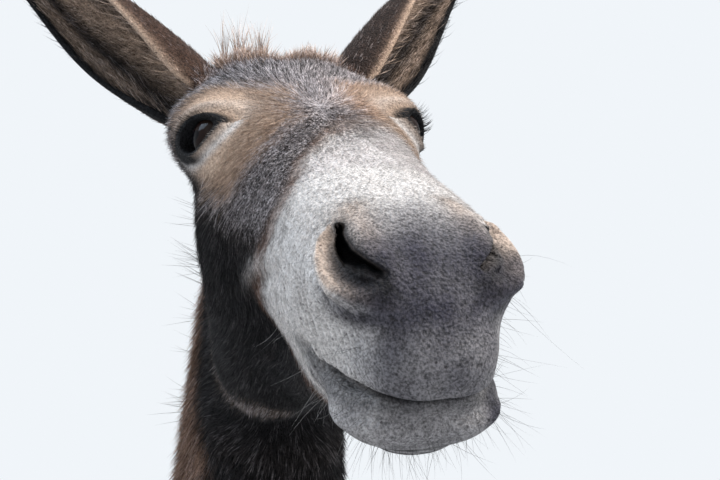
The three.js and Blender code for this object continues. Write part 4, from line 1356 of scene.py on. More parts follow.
class Nodes:
    """Adds nodes to a tree and links them; a node's kind is given without ShaderNode in front."""

    def __init__(self, tree):
        self.tree = tree

    def add(self, kind, name, settings=(), **inputs):
        node = self.tree.nodes.new("ShaderNode" + kind)
        node.name = node.label = name
        for key, value in dict(settings).items():
            setattr(node, key, value)
        for key, value in inputs.items():
            self.feed(node, key.replace("_", " "), value)
        return node

    def feed(self, node, key, value):
        key = int(key[1:]) if key[:1] == "n" and key[1:].isdigit() else key
        if isinstance(value, bpy.types.NodeSocket):
            self.tree.links.new(value, node.inputs[key])
        else:
            node.inputs[key].default_value = value

    def sum(self, name, operation, *values, kind="Math", output=0):
        fed = {f"n{i}": value for i, value in enumerate(values)}
        return self.add(kind, name, {"operation": operation}, **fed).outputs[output]

    def vector(self, name, operation, *values, output=0):
        return self.sum(name, operation, *values, kind="VectorMath", output=output)

    def noise(self, name, place, scale, **more):
        return self.add("TexNoise", name, Vector=place, Scale=scale, **more).outputs["Fac"]

    def cells(self, name, place, scale):
        return self.add("TexVoronoi", name, Vector=place, Scale=scale).outputs["Distance"]

    def between(self, name, share, dark, pale):
        ramp_node = self.add("ValToRGB", name, Fac=share)
        for element, colour in zip(ramp_node.color_ramp.elements, (dark, pale)):
            element.color = colour
        return ramp_node.outputs[0]

    def blend(self, name, share, first, second, kind="MIX"):
        node = self.add("Mix", name, {"data_type": "RGBA", "blend_type": kind})
        for key, value in ((0, share), (6, first), (7, second)):
            self.feed(node, f"n{key}", value)
        return node.outputs[2]

    def spread(self, name, value, low, high, bottom=0.0, top=1.0):
        node = self.add("MapRange", name, {"interpolation_type": "SMOOTHSTEP"}, Value=value)
        for key, number in (("From Min", low), ("From Max", high), ("To Min", bottom), ("To Max", top)):
            node.inputs[key].default_value = number
        return node.outputs[0]


def new_group(name, ins, outs):
    """A shader node group with named sockets, as its nodes, its inputs and its output node."""
    tree = bpy.data.node_groups.new(name, "ShaderNodeTree")
    for label, kind, value in ins:
        socket = tree.interface.new_socket(label, in_out="INPUT", socket_type=kind)
        if value is not None:
            socket.default_value = value
    for label, kind in outs:
        tree.interface.new_socket(label, in_out="OUTPUT", socket_type=kind)
    nodes = Nodes(tree)
    start, end = tree.nodes.new("NodeGroupInput"), tree.nodes.new("NodeGroupOutput")
    return nodes, start.outputs, end


def coat_colour_group():
    """Mixes the coat's colours by its markings, darker at the roots and different in every tuft."""
    ins = [(name, "NodeSocketVector", None) for name in ("Marks A", "Marks B", "Strand")]
    ins += [("Flecks", "NodeSocketFloat", 0.0), ("Grain", "NodeSocketFloat", 0.5)]
    ins += [(name, "NodeSocketColor", None) for name in COAT_COLOURS]
    outs = [("Color", "NodeSocketColor"), ("Roughness", "NodeSocketFloat")]
    nodes, given, end = new_group("Coat colour", ins, outs)
    first = nodes.add("SeparateXYZ", "White, grey, cream", n0=given["Marks A"]).outputs
    second = nodes.add("SeparateXYZ", "Red, black, silver", n0=given["Marks B"]).outputs
    strand = nodes.add("SeparateXYZ", "Along, luck, shade", n0=given["Strand"]).outputs
    grain = nodes.spread("Grain", given["Grain"], 0.32, 0.68, -0.5, 0.5)
    frosted = nodes.sum("Uneven frost", "MULTIPLY_ADD", grain, 0.30, strand[1])
    bare = nodes.sum("Left dark", "SUBTRACT", 1.02, second[2])
    frosted = nodes.sum("Frosted tufts", "SUBTRACT", frosted, bare)
    frosted = nodes.spread("Frost", frosted, -0.06, 0.20, 0.0, 0.66)
    hard = nodes.spread("Only where thick", second[2], 0.26, 0.42)
    frosted = nodes.sum("Frosted", "MULTIPLY", frosted, hard)
    # Painted sheen: clumps lit up towards the silver colour, as far as the silver mark allows.
    soft = nodes.spread("Lit clumps", strand[2], 0.50, 1.0, 0.0, 0.90)
    soft = nodes.sum("Sheen", "MULTIPLY", second[2], soft)
    frosted = nodes.sum("Frost and sheen", "MAXIMUM", frosted, soft)
    colour = nodes.blend("Red coat", second[0], given["Brown"], given["Red"])
    colour = nodes.blend("Cream patches", first[2], colour, given["Cream"])
    colour = nodes.blend("White nose", first[0], colour, given["Pale"])
    colour = nodes.blend("Grey lips", first[1], colour, given["Lip grey"])
    colour = nodes.blend("Black points", second[1], colour, given["Black"])
    colour = nodes.blend("Silver tips", frosted, colour, given["Silver"])
    colour = nodes.blend("Dark flecks", given["Flecks"], colour, FLECK_COLOUR, "MULTIPLY")
    light = nodes.spread("Lighter to the tip", strand[0], 0.0, 0.9, 0.50, 1.15)
    own = nodes.spread("Shade", strand[2], 0.0, 1.0, 0.34, 1.85)
    light = nodes.sum("Each its own", "MULTIPLY", light, own)
    speckled = nodes.sum("Speckled", "MULTIPLY_ADD", grain, 1.50, 1.0)
    light = nodes.sum("Grainy", "MULTIPLY", light, speckled)
    even = nodes.sum("Pale", "MAXIMUM", first[0], first[2])
    even = nodes.sum("Pale only", "SUBTRACT", even, first[1])
    even = nodes.sum("White", "MAXIMUM", even, 0.0)
    even = nodes.sum("Evener when white", "MULTIPLY", even, 0.50)
    light = nodes.add("Mix", "Even", {"data_type": "FLOAT"}, n0=even, n2=light, n3=1.05)
    light = light.outputs[0]
    shade = nodes.add("CombineColor", "Light", n0=light, n1=light, n2=light).outputs[0]
    colour = nodes.blend("Strands", 1.0, colour, shade, "MULTIPLY")
    nodes.feed(end, "Color", colour)
    rough = nodes.sum("Lips a little shinier", "MULTIPLY_ADD", first[1], -0.18, 0.72)
    nodes.feed(end, "Roughness", rough)
    return nodes.tree


def grain_group():
    """Fine grain of short fur: a height for the bump, and scattered flecks."""
    ins = [("Vector", "NodeSocketVector", None), ("Size", "NodeSocketFloat", 0.0014)]
    outs = [(name, "NodeSocketFloat") for name in ("Height", "Flecks", "Grain")]
    nodes, given, end = new_group("Fur grain", ins, outs)
    place = given["Vector"]
    scale = nodes.sum("Per metre", "DIVIDE", 1.0, given["Size"])
    fine = nodes.noise("Fine", place, scale, Detail=3.0, Roughness=0.65)
    broad = nodes.noise("Broad", place, 260.0, Detail=2.0)
    height = nodes.sum("Height", "MULTIPLY_ADD", broad, 0.7, fine)
    height = nodes.sum("Pebbled", "MULTIPLY_ADD", nodes.cells("Pebbles", place, 430.0), -0.9, height)
    flecks = nodes.spread("Flecks", nodes.cells("Pores", place, 230.0), 0.26, 0.12, 0.0, 0.75)
    here = nodes.spread("Here", nodes.noise("Some", place, 120.0), 0.45, 0.60)
    flecks = nodes.sum("Some pores", "MULTIPLY", flecks, here)
    mixed = nodes.sum("Broad grain", "MULTIPLY_ADD", broad, 0.28, 0.0)
    mixed = nodes.sum("Mixed grain", "MULTIPLY_ADD", fine, 0.72, mixed)
    for (name, _), value in zip(outs, (height, flecks, mixed)):
        nodes.feed(end, name, value)
    return nodes.tree


def new_material(name):
    material = bpy.data.materials.new(name)
    material.use_nodes = True
    nodes = Nodes(material.node_tree)
    return material, nodes, material.node_tree.nodes["Principled BSDF"]


def group_node(nodes, name, group):
    return nodes.add("Group", name, {"node_tree": bpy.data.node_groups[group]})


def coat_material(bumpy):
    """The coat; bumpy for the skin under it, plain for the tufts."""
    material, nodes, shader = new_material("skin" if bumpy else "coat")
    place = nodes.add("TexCoord", "Place").outputs["Object"]
    grain = group_node(nodes, "Grain", "Fur grain")
    nodes.feed(grain, "Vector", place)
    colour = group_node(nodes, "Colour", "Coat colour")
    for key, layer in (("Marks A", "marks_a"), ("Marks B", "marks_b"), ("Strand", "strand")):
        stored = nodes.add("Attribute", key, {"attribute_name": layer})
        nodes.feed(colour, key, stored.outputs["Vector"])
    for key in ("Flecks", "Grain"):
        nodes.feed(colour, key, grain.outputs[key])
    for key in COAT_COLOURS:
        rgb = getattr(bpy.context.scene.donkey_coat, key.lower().replace(" ", "_"))
        nodes.feed(colour, key, (*rgb, 1.0))
    nodes.feed(shader, "Base Color", colour.outputs["Color"])
    nodes.feed(shader, "Roughness", colour.outputs["Roughness"])
    nodes.feed(shader, "Specular IOR Level", 0.15)
    if bumpy:
        bump = nodes.add("Bump", "Bump", Strength=1.0, Distance=0.0016)
        nodes.feed(bump, "Height", grain.outputs["Height"])
        nodes.feed(shader, "Normal", bump.outputs["Normal"])
    return material


def eye_material():
    """A wet dark brown eye with a wide flat pupil, its iris painted lighter towards one end as a painted
    glow.
    """
    material, nodes, shader = new_material("wet_eye")
    place = nodes.add("TexCoord", "Place").outputs["Object"]
    spot = nodes.add("SeparateXYZ", "Across the eye", n0=place).outputs
    flat = nodes.add("CombineXYZ", "Flat", n0=spot[0], n1=spot[1], n2=0.0).outputs[0]
    out = nodes.vector("Out", "LENGTH", flat, output="Value")
    oval = nodes.vector("Oval", "MULTIPLY", flat, (0.62, 1.25, 1.0))
    slot = nodes.vector("Slot", "LENGTH", oval, output="Value")
    rays = nodes.noise("Rays", place, 900.0, Detail=3.0)
    # Painted glow: the iris is lighter towards one end of the slit, as if lit there.
    low = nodes.sum("Lit low in front", "MULTIPLY_ADD", spot[0], 38.0, rays)
    iris = (*bpy.context.scene.donkey_eyes.iris, 1.0)
    brown = nodes.between("Iris", nodes.spread("Rays", low, 0.20, 0.85), PUPIL_COLOUR, iris)
    colour = nodes.blend("Pupil", nodes.spread("Pupil", slot, 0.0052, 0.0060), PUPIL_COLOUR, brown)
    white = nodes.spread("White", out, 0.0128, 0.0142)
    colour = nodes.blend("Rim", white, colour, EYE_RIM_COLOUR)
    nodes.feed(shader, "Base Color", colour)
    nodes.feed(shader, "Roughness", 0.30)
    nodes.feed(shader, "Specular IOR Level", 0.0)
    nodes.feed(shader, "Coat Weight", 0.30)
    nodes.feed(shader, "Coat Roughness", 0.03)
    nodes.feed(shader, "Coat IOR", 1.35)
    return material


def horn_material():
    """Grey hoof horn, streaked downwards and ringed by growth."""
    material, nodes, shader = new_material("hoof_horn")
    place = nodes.add("TexCoord", "Place").outputs["Object"]
    sizes = bpy.context.scene.donkey_hooves
    stretched = nodes.vector("Streaks", "MULTIPLY", place, (1.0, 1.0, 0.06))
    streaks = nodes.noise("Streaky", stretched, 420.0, Detail=3.0)
    rings = nodes.add("TexWave", "Rings", {"bands_direction": "Z"}, Scale=26.0, Distortion=1.2)
    nodes.feed(rings, "Vector", place)
    tone = nodes.sum("Tone", "MULTIPLY_ADD", rings.outputs["Fac"], 0.06, streaks)
    share = nodes.spread("Tone", tone, 0.25, 0.85)
    nodes.feed(shader, "Base Color", nodes.between("Horn", share, (*sizes.dark, 1.0), (*sizes.pale, 1.0)))
    nodes.feed(shader, "Roughness", nodes.sum("Worn", "MULTIPLY_ADD", streaks, 0.3, 0.35))
    bump = nodes.add("Bump", "Bump", Height=tone, Strength=0.5, Distance=0.0012)
    nodes.feed(shader, "Normal", bump.outputs["Normal"])
    return material


def floor_material():
    """Plain pale floor."""
    material, nodes, shader = new_material("floor")
    place = nodes.add("TexCoord", "Place").outputs["Object"]
    cloud = nodes.spread("Cloud", nodes.noise("Cloud", place, 1.5, Detail=2.0), 0.3, 0.7)
    colour = nodes.blend("Pale", cloud, (0.60, 0.62, 0.64, 1), (0.66, 0.68, 0.70, 1))
    nodes.feed(shader, "Base Color", colour)
    nodes.feed(shader, "Roughness", 0.8)
    return material


def material(name):
    """A material by name, made the first time it is wanted."""
    if "Coat colour" not in bpy.data.node_groups:
        coat_colour_group()
        grain_group()
    makers = {
        "skin": lambda: coat_material(True),
        "coat": lambda: coat_material(False),
        "wet_eye": eye_material,
        "hoof_horn": horn_material,
        "floor": floor_material,
    }
    return bpy.data.materials.get(name) or makers[name]()


def dress(thing, look, slot=None, instead_of=()):
    """Gives a piece its material, and its place in the frame."""
    thing.data.materials.clear()
    thing.data.materials.append(material(look))
    if slot is None:
        return
    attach(thing, "root")
    if instead_of:
        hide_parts(*instead_of)


# ---------------- sizes and colours to be set in the sidebar


def a_length(name, description, default, low=0.0):
    """A length that the sidebar shows."""
    return FloatProperty(name=name, description=description, default=default, min=low, unit="LENGTH")


def a_share(name, description, low, high):
    """A factor round 1 that the sidebar shows."""
    return FloatProperty(
        name=name, description=description, default=1.0, min=low, max=high, subtype="FACTOR"
    )


def a_colour(name, description, default):
    """A colour that the sidebar shows."""
    return FloatVectorProperty(
        name=name, description=description, default=default, min=0, max=1, subtype="COLOR"
    )


class SkinSettings(bpy.types.PropertyGroup):
    cell: a_length("Cell", "Mesh size over the trunk; the head is finer", 0.0115, 0.008)


class CoatSettings(bpy.types.PropertyGroup):
    fullness: a_share("Fullness", "Share of the full number of tufts", 0.1, 1.2)
    long: a_share("Length", "Tuft length beside its usual length", 0.5, 1.5)
    seed: IntProperty(name="Seed", description="Start of the random order of tufts", default=11)
    brown: a_colour("Brown", "Ground colour of the coat", (0.030, 0.0225, 0.0205))
    pale: a_colour("Pale", "White of nose, belly and inner legs", (0.70, 0.66, 0.64))
    lip_grey: a_colour("Lip grey", "Slate grey of muzzle and lips", (0.043, 0.040, 0.055))
    cream: a_colour("Cream", "Round the eyes and in the ears", (0.54, 0.385, 0.285))
    red: a_colour("Red", "Sides of the neck and backs of the ears", (0.175, 0.088, 0.055))
    black: a_colour("Black", "Jaw, throat, lids and ear tips", (0.0058, 0.0053, 0.0062))
    silver: a_colour("Silver", "Frosted tips of the tufts", (0.54, 0.485, 0.490))


class HairSettings(bpy.types.PropertyGroup):
    mane: a_length("Mane", "Height of the mane", 0.040, 0.01)
    forelock: a_length("Forelock", "Length of the forelock", 0.036, 0.01)
    ear: a_length("In the ears", "Length of hair in the ears", 0.022, 0.005)
    whisker: a_length("Whiskers", "Length of the whiskers", 0.030, 0.01)
    lash: a_length("Lashes", "Length of the lashes", 0.010, 0.002)
    seed: IntProperty(name="Seed", description="Start of the random order of hairs", default=71)


class EyeSettings(bpy.types.PropertyGroup):
    cornea: a_length("Cornea", "How far the cornea bulges", 0.0011)
    iris: a_colour("Iris", "Lightest brown of the iris", (0.012, 0.006, 0.005))


class HoofSettings(bpy.types.PropertyGroup):
    ridge: a_length("Ridges", "Height of the growth rings", 0.00035)
    dark: a_colour("Dark horn", "Darkest streaks of the hooves", (0.022, 0.019, 0.018))
    pale: a_colour("Pale horn", "Palest streaks of the hooves", (0.072, 0.061, 0.053))


class StageSettings(bpy.types.PropertyGroup):
    lens: FloatProperty(
        name="Lens", description="Focal length", default=50.0, min=10, subtype="DISTANCE_CAMERA"
    )
    key: FloatProperty(
        name="Key light", description="Power of the large soft light", default=130.0, min=0, unit="POWER"
    )
    sky: FloatProperty(name="Sky", description="Strength of the light from all round", default=0.95, min=0)


# ---------------- pieces

FLESH_NODES = ["head", "neck", "trunk", "tail", "ear_left", "ear_right"]
LIMBS = ("front_leg", "front_shank", "hind_leg", "hind_shank")
FLESH_NODES += [f"{limb_name}_{side}" for limb_name in LIMBS for side in ("left", "right")]


def built_skin():
    skin = bpy.data.objects.get("skin")
    if skin is None:
        raise RuntimeError("Build the skin first.")
    return skin


def plain_marks(count, red=0.0, black=0.0, silver=0.0, cream=0.0):
    """The same markings for every hair."""
    first = np.zeros((count, 3))
    first[:, 2] = cream
    return first, np.tile(np.array((red, black, silver)), (count, 1))


class BuildSkin(bpy.types.Operator):
    """Build the one skin of the whole animal, with its markings"""

    bl_idname = "donkey.skin"
    bl_label = "Skin"

    def execute(self, context):
        points, faces = make_skin(context.scene.donkey_skin.cell)
        skin = new_mesh("skin", points, faces)
        join_ears(skin)
        skin.data.transform(Matrix.Translation(SHIFT))
        skin.data.update()
        shape_face(skin)
        smooth(skin.data)
        co, _ = read_points(skin.data)
        first, second = markings(Places(co))
        hollow = np.empty(len(co), np.float32)
        skin.data.attributes["hollow"].data.foreach_get("value", hollow)
        # Painted shade: the pressed-in hollows of nostrils and lids are painted black, their white, grey and
        # cream taken away.
        dark = np.clip(hollow * 1.6, 0, 1)[:, None]
        first *= 1 - dark
        second[:, 1:2] = np.maximum(second[:, 1:2], dark)
        strand = np.tile(np.array((0.55, 0.5, 0.4)), (len(co), 1))
        write_values(skin.data, marks_a=first, marks_b=second, strand=strand)
        dress(skin, "skin", "coat_dark", FLESH_NODES)
        return {"FINISHED"}


class GrowCoat(bpy.types.Operator):
    """Grow short tufts all over the skin"""

    bl_idname = "donkey.coat"
    bl_label = "Coat"

    def execute(self, context):
        skin, sizes = built_skin(), context.scene.donkey_coat
        slots = {"head": "coat_grey", "ears": "coat_rufous"}
        for step, region in enumerate(("head", "ears", "neck", "trunk", "legs")):
            for piece in grow_coat(skin, region, sizes.fullness, sizes.long, sizes.seed + step):
                dress(piece, "coat", slots.get(region, "coat_dark"))
        return {"FINISHED"}


class GrowMane(bpy.types.Operator):
    """Grow the short upright mane along the crest of the neck"""

    bl_idname = "donkey.mane"
    bl_label = "Mane"

    def execute(self, context):
        built_skin()
        sizes = context.scene.donkey_hair
        draw = np.random.default_rng(sizes.seed)
        count = 5200
        t = draw.uniform(-0.10, 1.04, count)
        high, low = np.array(CREST)
        line = high + t[:, None] * (low - high)
        start = np.column_stack((draw.normal(size=count) * 0.0060, line))
        roots = settle(skin_distance, start, 4, 0.02)
        _, out = outward(skin_distance, roots)
        tall = np.sin(math.pi * np.clip(0.16 + 0.74 * t, 0, 1)) ** 0.7
        tall *= sizes.mane * draw.uniform(0.70, 1.12, count)
        up = np.array((0.0, 0.745, 0.667)) + 0.25 * np.array((0.0, 0.667, -0.745))
        clump = sway(roots, 0.03, 0.02, 3) * 0.22
        ways = unit_rows(up + 0.35 * out + clump + 0.10 * draw.normal(size=(count, 3)))
        droop = np.array((0.0, 0.10, -0.10)) + 0.08 * draw.normal(size=(count, 3))
        black = 0.35 + 0.65 * (np.abs(roots[:, 0]) < 0.006)
        marks = plain_marks(count, red=0.75)
        marks[1][:, 1] = black * draw.uniform(0.5, 1.0, count)
        width = draw.uniform(0.0010, 0.0017, count)
        mane = long_hair("hair_mane", roots - 0.001 * out, ways, droop, tall, width, 2, marks, out, draw)
        dress(mane, "coat", "coat_rufous", ["mane"])
        locks, hairs = 13, 9
        count = hairs * locks
        t = np.repeat(np.linspace(0.0, 0.46, locks) + 0.02 * draw.normal(size=locks), hairs)
        t = t + 0.008 * draw.normal(size=count)
        start = np.column_stack((-0.004 + 0.004 * draw.normal(size=count), high + t[:, None] * (low - high)))
        roots = settle(skin_distance, start, 4, 0.02)
        _, out = outward(skin_distance, roots)
        lock = np.repeat(draw.normal(size=(locks, 3)), hairs, 0) * np.array((0.10, 0.30, 0.22))
        ways = unit_rows(np.array((-0.80, 0.25, 0.50)) + lock + 0.07 * draw.normal(size=(count, 3)))
        droop = np.array((-0.10, -0.05, 0.10)) + 0.12 * draw.normal(size=(count, 3))
        long = np.repeat(draw.uniform(0.050, 0.088, locks), hairs) * draw.uniform(0.75, 1.0, count)
        width = draw.uniform(0.0005, 0.0008, count)
        marks = plain_marks(count, red=0.3, black=0.75)
        wisps = long_hair("mane_wisps", roots - 0.001 * out, ways, droop, long, width, 5, marks, out, draw)
        dress(wisps, "coat", "coat_dark")
        return {"FINISHED"}


class GrowForelock(bpy.types.Operator):
    """Grow the short tufts between the ears"""

    bl_idname = "donkey.forelock"
    bl_label = "Forelock"

    def execute(self, context):
        built_skin()
        sizes = context.scene.donkey_hair
        draw = np.random.default_rng(sizes.seed + 1)
        count, spikes = 5000, 120
        across = np.clip(0.030 * draw.normal(size=count), -0.052, 0.056)
        across[:spikes] = np.repeat(draw.choice((-0.046, -0.032, -0.022, -0.010), 12), 10)
        across[:spikes] += 0.0016 * draw.normal(size=spikes)
        back = -0.158 + 0.016 * draw.normal(size=count)
        back[:spikes] = -0.160 + 0.004 * draw.normal(size=spikes)
        start = from_head(np.column_stack((back, across, np.full(count, 0.04))))
        roots = settle(skin_distance, start, 5, 0.02)
        _, out = outward(skin_distance, roots)
        clump = sway(roots, 0.016, 0.012, 8)
        sideways = 4.0 * across + 0.55 * clump[:, 1]
        lean = np.column_stack((-0.10 + 0.45 * clump[:, 0], sideways, np.ones(count)))
        ways = unit_rows(unit_rows(lean) @ HEAD + 0.16 * draw.normal(size=(count, 3)))
        droop = np.array((0.10, 0.0, -0.16)) @ HEAD + 0.14 * draw.normal(size=(count, 3))
        long = sizes.forelock * (0.50 - 0.20 * bell(across - 0.004, 0.010)) * draw.uniform(0.5, 1.15, count)
        long[:spikes] = sizes.forelock * draw.uniform(1.0, 1.5, spikes)
        ways[:spikes] = unit_rows(ways[:spikes] + np.array((0.0, 0.0, 1.2)))
        marks = plain_marks(count, red=0.85, silver=0.38, cream=0.62)
        marks[1][:, 1] = 0.5 * (draw.uniform(size=count) < 0.10)
        width = draw.uniform(0.00045, 0.0008, count)
        roots = roots - 0.001 * out
        tufts = long_hair("hair_forelock", roots, ways, droop, long, width, 3, marks, out, draw)
        dress(tufts, "coat", "coat_rufous", ["forelock"])
        return {"FINISHED"}


class GrowTail(bpy.types.Operator):
    """Grow the switch of long hair at the tail's end"""

    bl_idname = "donkey.tail"
    bl_label = "Tail"

    def execute(self, context):
        built_skin()
        sizes = context.scene.donkey_hair
        draw = np.random.default_rng(sizes.seed + 2)
        count = 2300
        level = draw.uniform(0.705, 0.80, count)
        turn = draw.uniform(0, 2 * math.pi, count)
        around = np.column_stack((np.cos(turn), np.sin(turn), np.zeros(count)))
        start = np.column_stack((np.zeros(count), np.full(count, 0.648), level)) + 0.015 * around
        roots = settle(skin_distance, start, 3, 0.01)
        end = 0.435 + 0.10 * draw.uniform(size=count) ** 1.6
        long = (level - end) * draw.uniform(0.80, 1.0, count)
        spread = 0.060 + 0.030 * draw.normal(size=count)
        wave = sway(roots, 0.02, 0.02, 31) * 0.03
        ways = unit_rows(np.array((0.0, 0.0, -1.0)) + around * spread[:, None] + wave)
        droop = -around * (spread * 0.85)[:, None] + np.array((0.0, -0.045, 0.0)) - wave
        marks = plain_marks(count, red=0.2, black=0.55)
        marks[1][:, 1] *= draw.uniform(0.4, 1.6, count)
        width = draw.uniform(0.0012, 0.0022, count)
        hair = long_hair("hair_tail", roots, ways, droop, long, width, 5, marks, around, draw)
        dress(hair, "coat", "coat_dark", ["tail_switch"])
        return {"FINISHED"}


class GrowEarHair(bpy.types.Operator):
    """Grow the long pale hair inside the ears"""

    bl_idname = "donkey.ear_hair"
    bl_label = "Hair in the ears"

    def execute(self, context):
        sizes = context.scene.donkey_hair
        draw = np.random.default_rng(sizes.seed + 3)

        def pale_edges(at):
            turn = np.abs(at.ear_turn)
            edge = ramp(0.25, 0.60, turn) * ramp(1.08, 1.0, turn) + 0.8 * bell(at.ear_turn, 0.25)
            return at.inner * edge * ramp(0.02, 0.10, at.ear_t) * ramp(0.97, 0.85, at.ear_t) * 0.15

        roots, out = scatter(built_skin(), pale_edges, 1.0, draw)
        at = Places(roots)
        count = len(roots)
        fold = both_sides(at.side)
        tip, opening = (EAR_UP * fold) @ HEAD, (EAR_OPEN * fold) @ HEAD
        ways = unit_rows(0.8 * tip + 0.45 * opening + 0.35 * out + 0.16 * draw.normal(size=(count, 3)))
        droop = 0.25 * tip - 0.30 * opening + 0.10 * draw.normal(size=(count, 3))
        long = sizes.ear * draw.uniform(0.55, 1.25, count) * ramp(1.25, 0.5, at.ear_t)
        marks = markings(at)
        width = draw.uniform(0.0004, 0.0007, count)
        hair = long_hair("ear_hair", roots - 0.0005 * out, ways, droop, long, width, 2, marks, out, draw)
        dress(hair, "coat", "coat_grey")
        return {"FINISHED"}


class GrowWhiskers(bpy.types.Operator):
    """Grow long thin whiskers on lips, chin and nose, and a few under the jaw"""

    bl_idname = "donkey.whiskers"
    bl_label = "Whiskers"

    def execute(self, context):
        sizes = context.scene.donkey_hair
        draw = np.random.default_rng(sizes.seed + 4)

        def bristly(at):
            x, gap = at.m[:, 0], mouth_gap(at.m)
            lips = 1.3 * ramp(0.20, 0.24, x) * bell(gap + 0.006, 0.026)
            chin = 1.6 * ramp(0.19, 0.22, x) * ramp(-0.012, -0.024, gap)
            nose = 0.30 * ramp(0.22, 0.26, x) * ramp(0.004, -0.014, at.m[:, 2])
            jaw = 0.10 * ramp(0.08, 0.14, x) * ramp(-0.07, -0.10, at.m[:, 2])
            return at.head * (lips + 1.1 * chin + nose + jaw) * 0.011

        roots, out = scatter(built_skin(), bristly, 1.0, draw)
        at = Places(roots)
        count = len(roots)
        ways = unit_rows(out + 0.25 * lie(at, out) + 0.20 * draw.normal(size=(count, 3)))
        droop = 0.22 * draw.normal(size=(count, 3)) + np.array((0.0, 0.0, -0.10))
        long = sizes.whisker * draw.uniform(0.25, 1.0, count) * (1 + 0.9 * (draw.uniform(size=count) < 0.06))
        marks = plain_marks(count)
        pale = ramp(0.250, 0.215, at.m[:, 0]) > draw.uniform(size=count)
        marks[1][:, 1] = np.where(pale, 0.0, draw.uniform(0.2, 0.8, count))
        marks[0][:, 0] = np.where(pale, 0.6, 0.0)
        width = draw.uniform(0.00012, 0.00022, count)
        hair = long_hair("whiskers", roots - 0.0005 * out, ways, droop, long, width, 5, marks, out, draw)
        dress(hair, "coat", "coat_dark")
        return {"FINISHED"}


class GrowLashes(bpy.types.Operator):
    """Grow the upper lashes"""

    bl_idname = "donkey.lashes"
    bl_label = "Lashes"

    def execute(self, context):
        sizes = context.scene.donkey_hair
        draw = np.random.default_rng(sizes.seed + 5)
        co, normal = read_points(built_skin().data)
        near = np.flatnonzero((co[:, 1] < -0.7) & (co[:, 2] > 1.2))
        at = Places(co[near])
        e = eye_place(at.m)
        lid = almond(e)
        upper = (lid > 1.04) & (lid < 1.20) & (at.eye < 0.04)
        upper &= (e[:, 2] > 0.004) & (e[:, 1] * EYE_UP_SIGN > 0.003)
        count = 130
        chosen = draw.choice(np.flatnonzero(upper), count, replace=False)
        roots, out, e = co[near][chosen], normal[near][chosen], e[chosen]
        fold = both_sides(at.side[chosen])
        up = (EYE_WAYS[1] * EYE_UP_SIGN * fold) @ HEAD
        gaze, slit = (GAZE * fold) @ HEAD, (SLIT * fold) @ HEAD
        fan = slit * (22 * e[:, 0])[:, None] + 0.10 * draw.normal(size=(count, 3))
        ways = unit_rows(gaze + 0.15 * up + fan)
        droop = 0.35 * up - 0.12 * gaze
        long = sizes.lash * draw.uniform(0.6, 1.2, count)
        width = draw.uniform(0.0003, 0.00045, count)
        marks = plain_marks(count, black=0.95)
        hair = long_hair("lashes", roots - 0.0005 * out, ways, droop, long, width, 4, marks, out, draw)
        dress(hair, "coat", "coat_dark")
        return {"FINISHED"}


EYE_ASIDE = 0.25  # how far the eyes look back past the middle of their lids


class BuildEyes(bpy.types.Operator):
    """Build both eyes, deep set, with a bulging cornea"""

    bl_idname = "donkey.eyes"
    bl_label = "Eyes"

    def execute(self, context):
        bulge = context.scene.donkey_eyes.cornea
        for side, name in ((1, "left"), (-1, "right")):
            work = bmesh.new()
            bmesh.ops.create_uvsphere(work, u_segments=72, v_segments=48, radius=EYE_RADIUS)
            for v in work.verts:
                out = math.acos(max(-1.0, min(1.0, v.co.z / EYE_RADIUS)))
                v.co *= 1 + bulge / EYE_RADIUS * float(ramp(0.85, 0.25, np.array(out)))
            mesh = bpy.data.meshes.new(f"eyeball_{name}")
            work.to_mesh(mesh)
            work.free()
            smooth(mesh)
            eye = add_object(f"eyeball_{name}", mesh)
            fold = np.array((1, side, 1))
            look = unit(GAZE - EYE_ASIDE * SLIT)
            out, along = (look * fold) @ HEAD, (square(SLIT, look) * fold) @ HEAD
            turn = Matrix((Vector(along), Vector(np.cross(out, along)), Vector(out))).transposed().to_4x4()
            turn.translation = Vector(from_head(GLOBE_AT * fold) + SHIFT)
            eye.matrix_world = turn
            dress(eye, "wet_eye", "eye", [f"eye_{name}"])
        return {"FINISHED"}


class BuildHooves(bpy.types.Operator):
    """Build the four hooves with their growth rings"""

    bl_idname = "donkey.hooves"
    bl_label = "Hooves"

    def execute(self, context):
        ridge = context.scene.donkey_hooves.ridge
        for end, x, y, step in (("front", 0.110, -0.384, FRONT_STEP), ("hind", 0.112, 0.495, -HIND_STEP)):
            for side, name in ((1, "left"), (-1, "right")):
                points, faces = hoof_shell(np.array((x * side, y + step * side)), ridge)
                hoof = new_mesh(f"hoof_{end}_{name}", points + SHIFT, faces)
                smooth(hoof.data)
                dress(hoof, "hoof_horn", "horn", [f"{end}_hoof_{name}"])
        return {"FINISHED"}


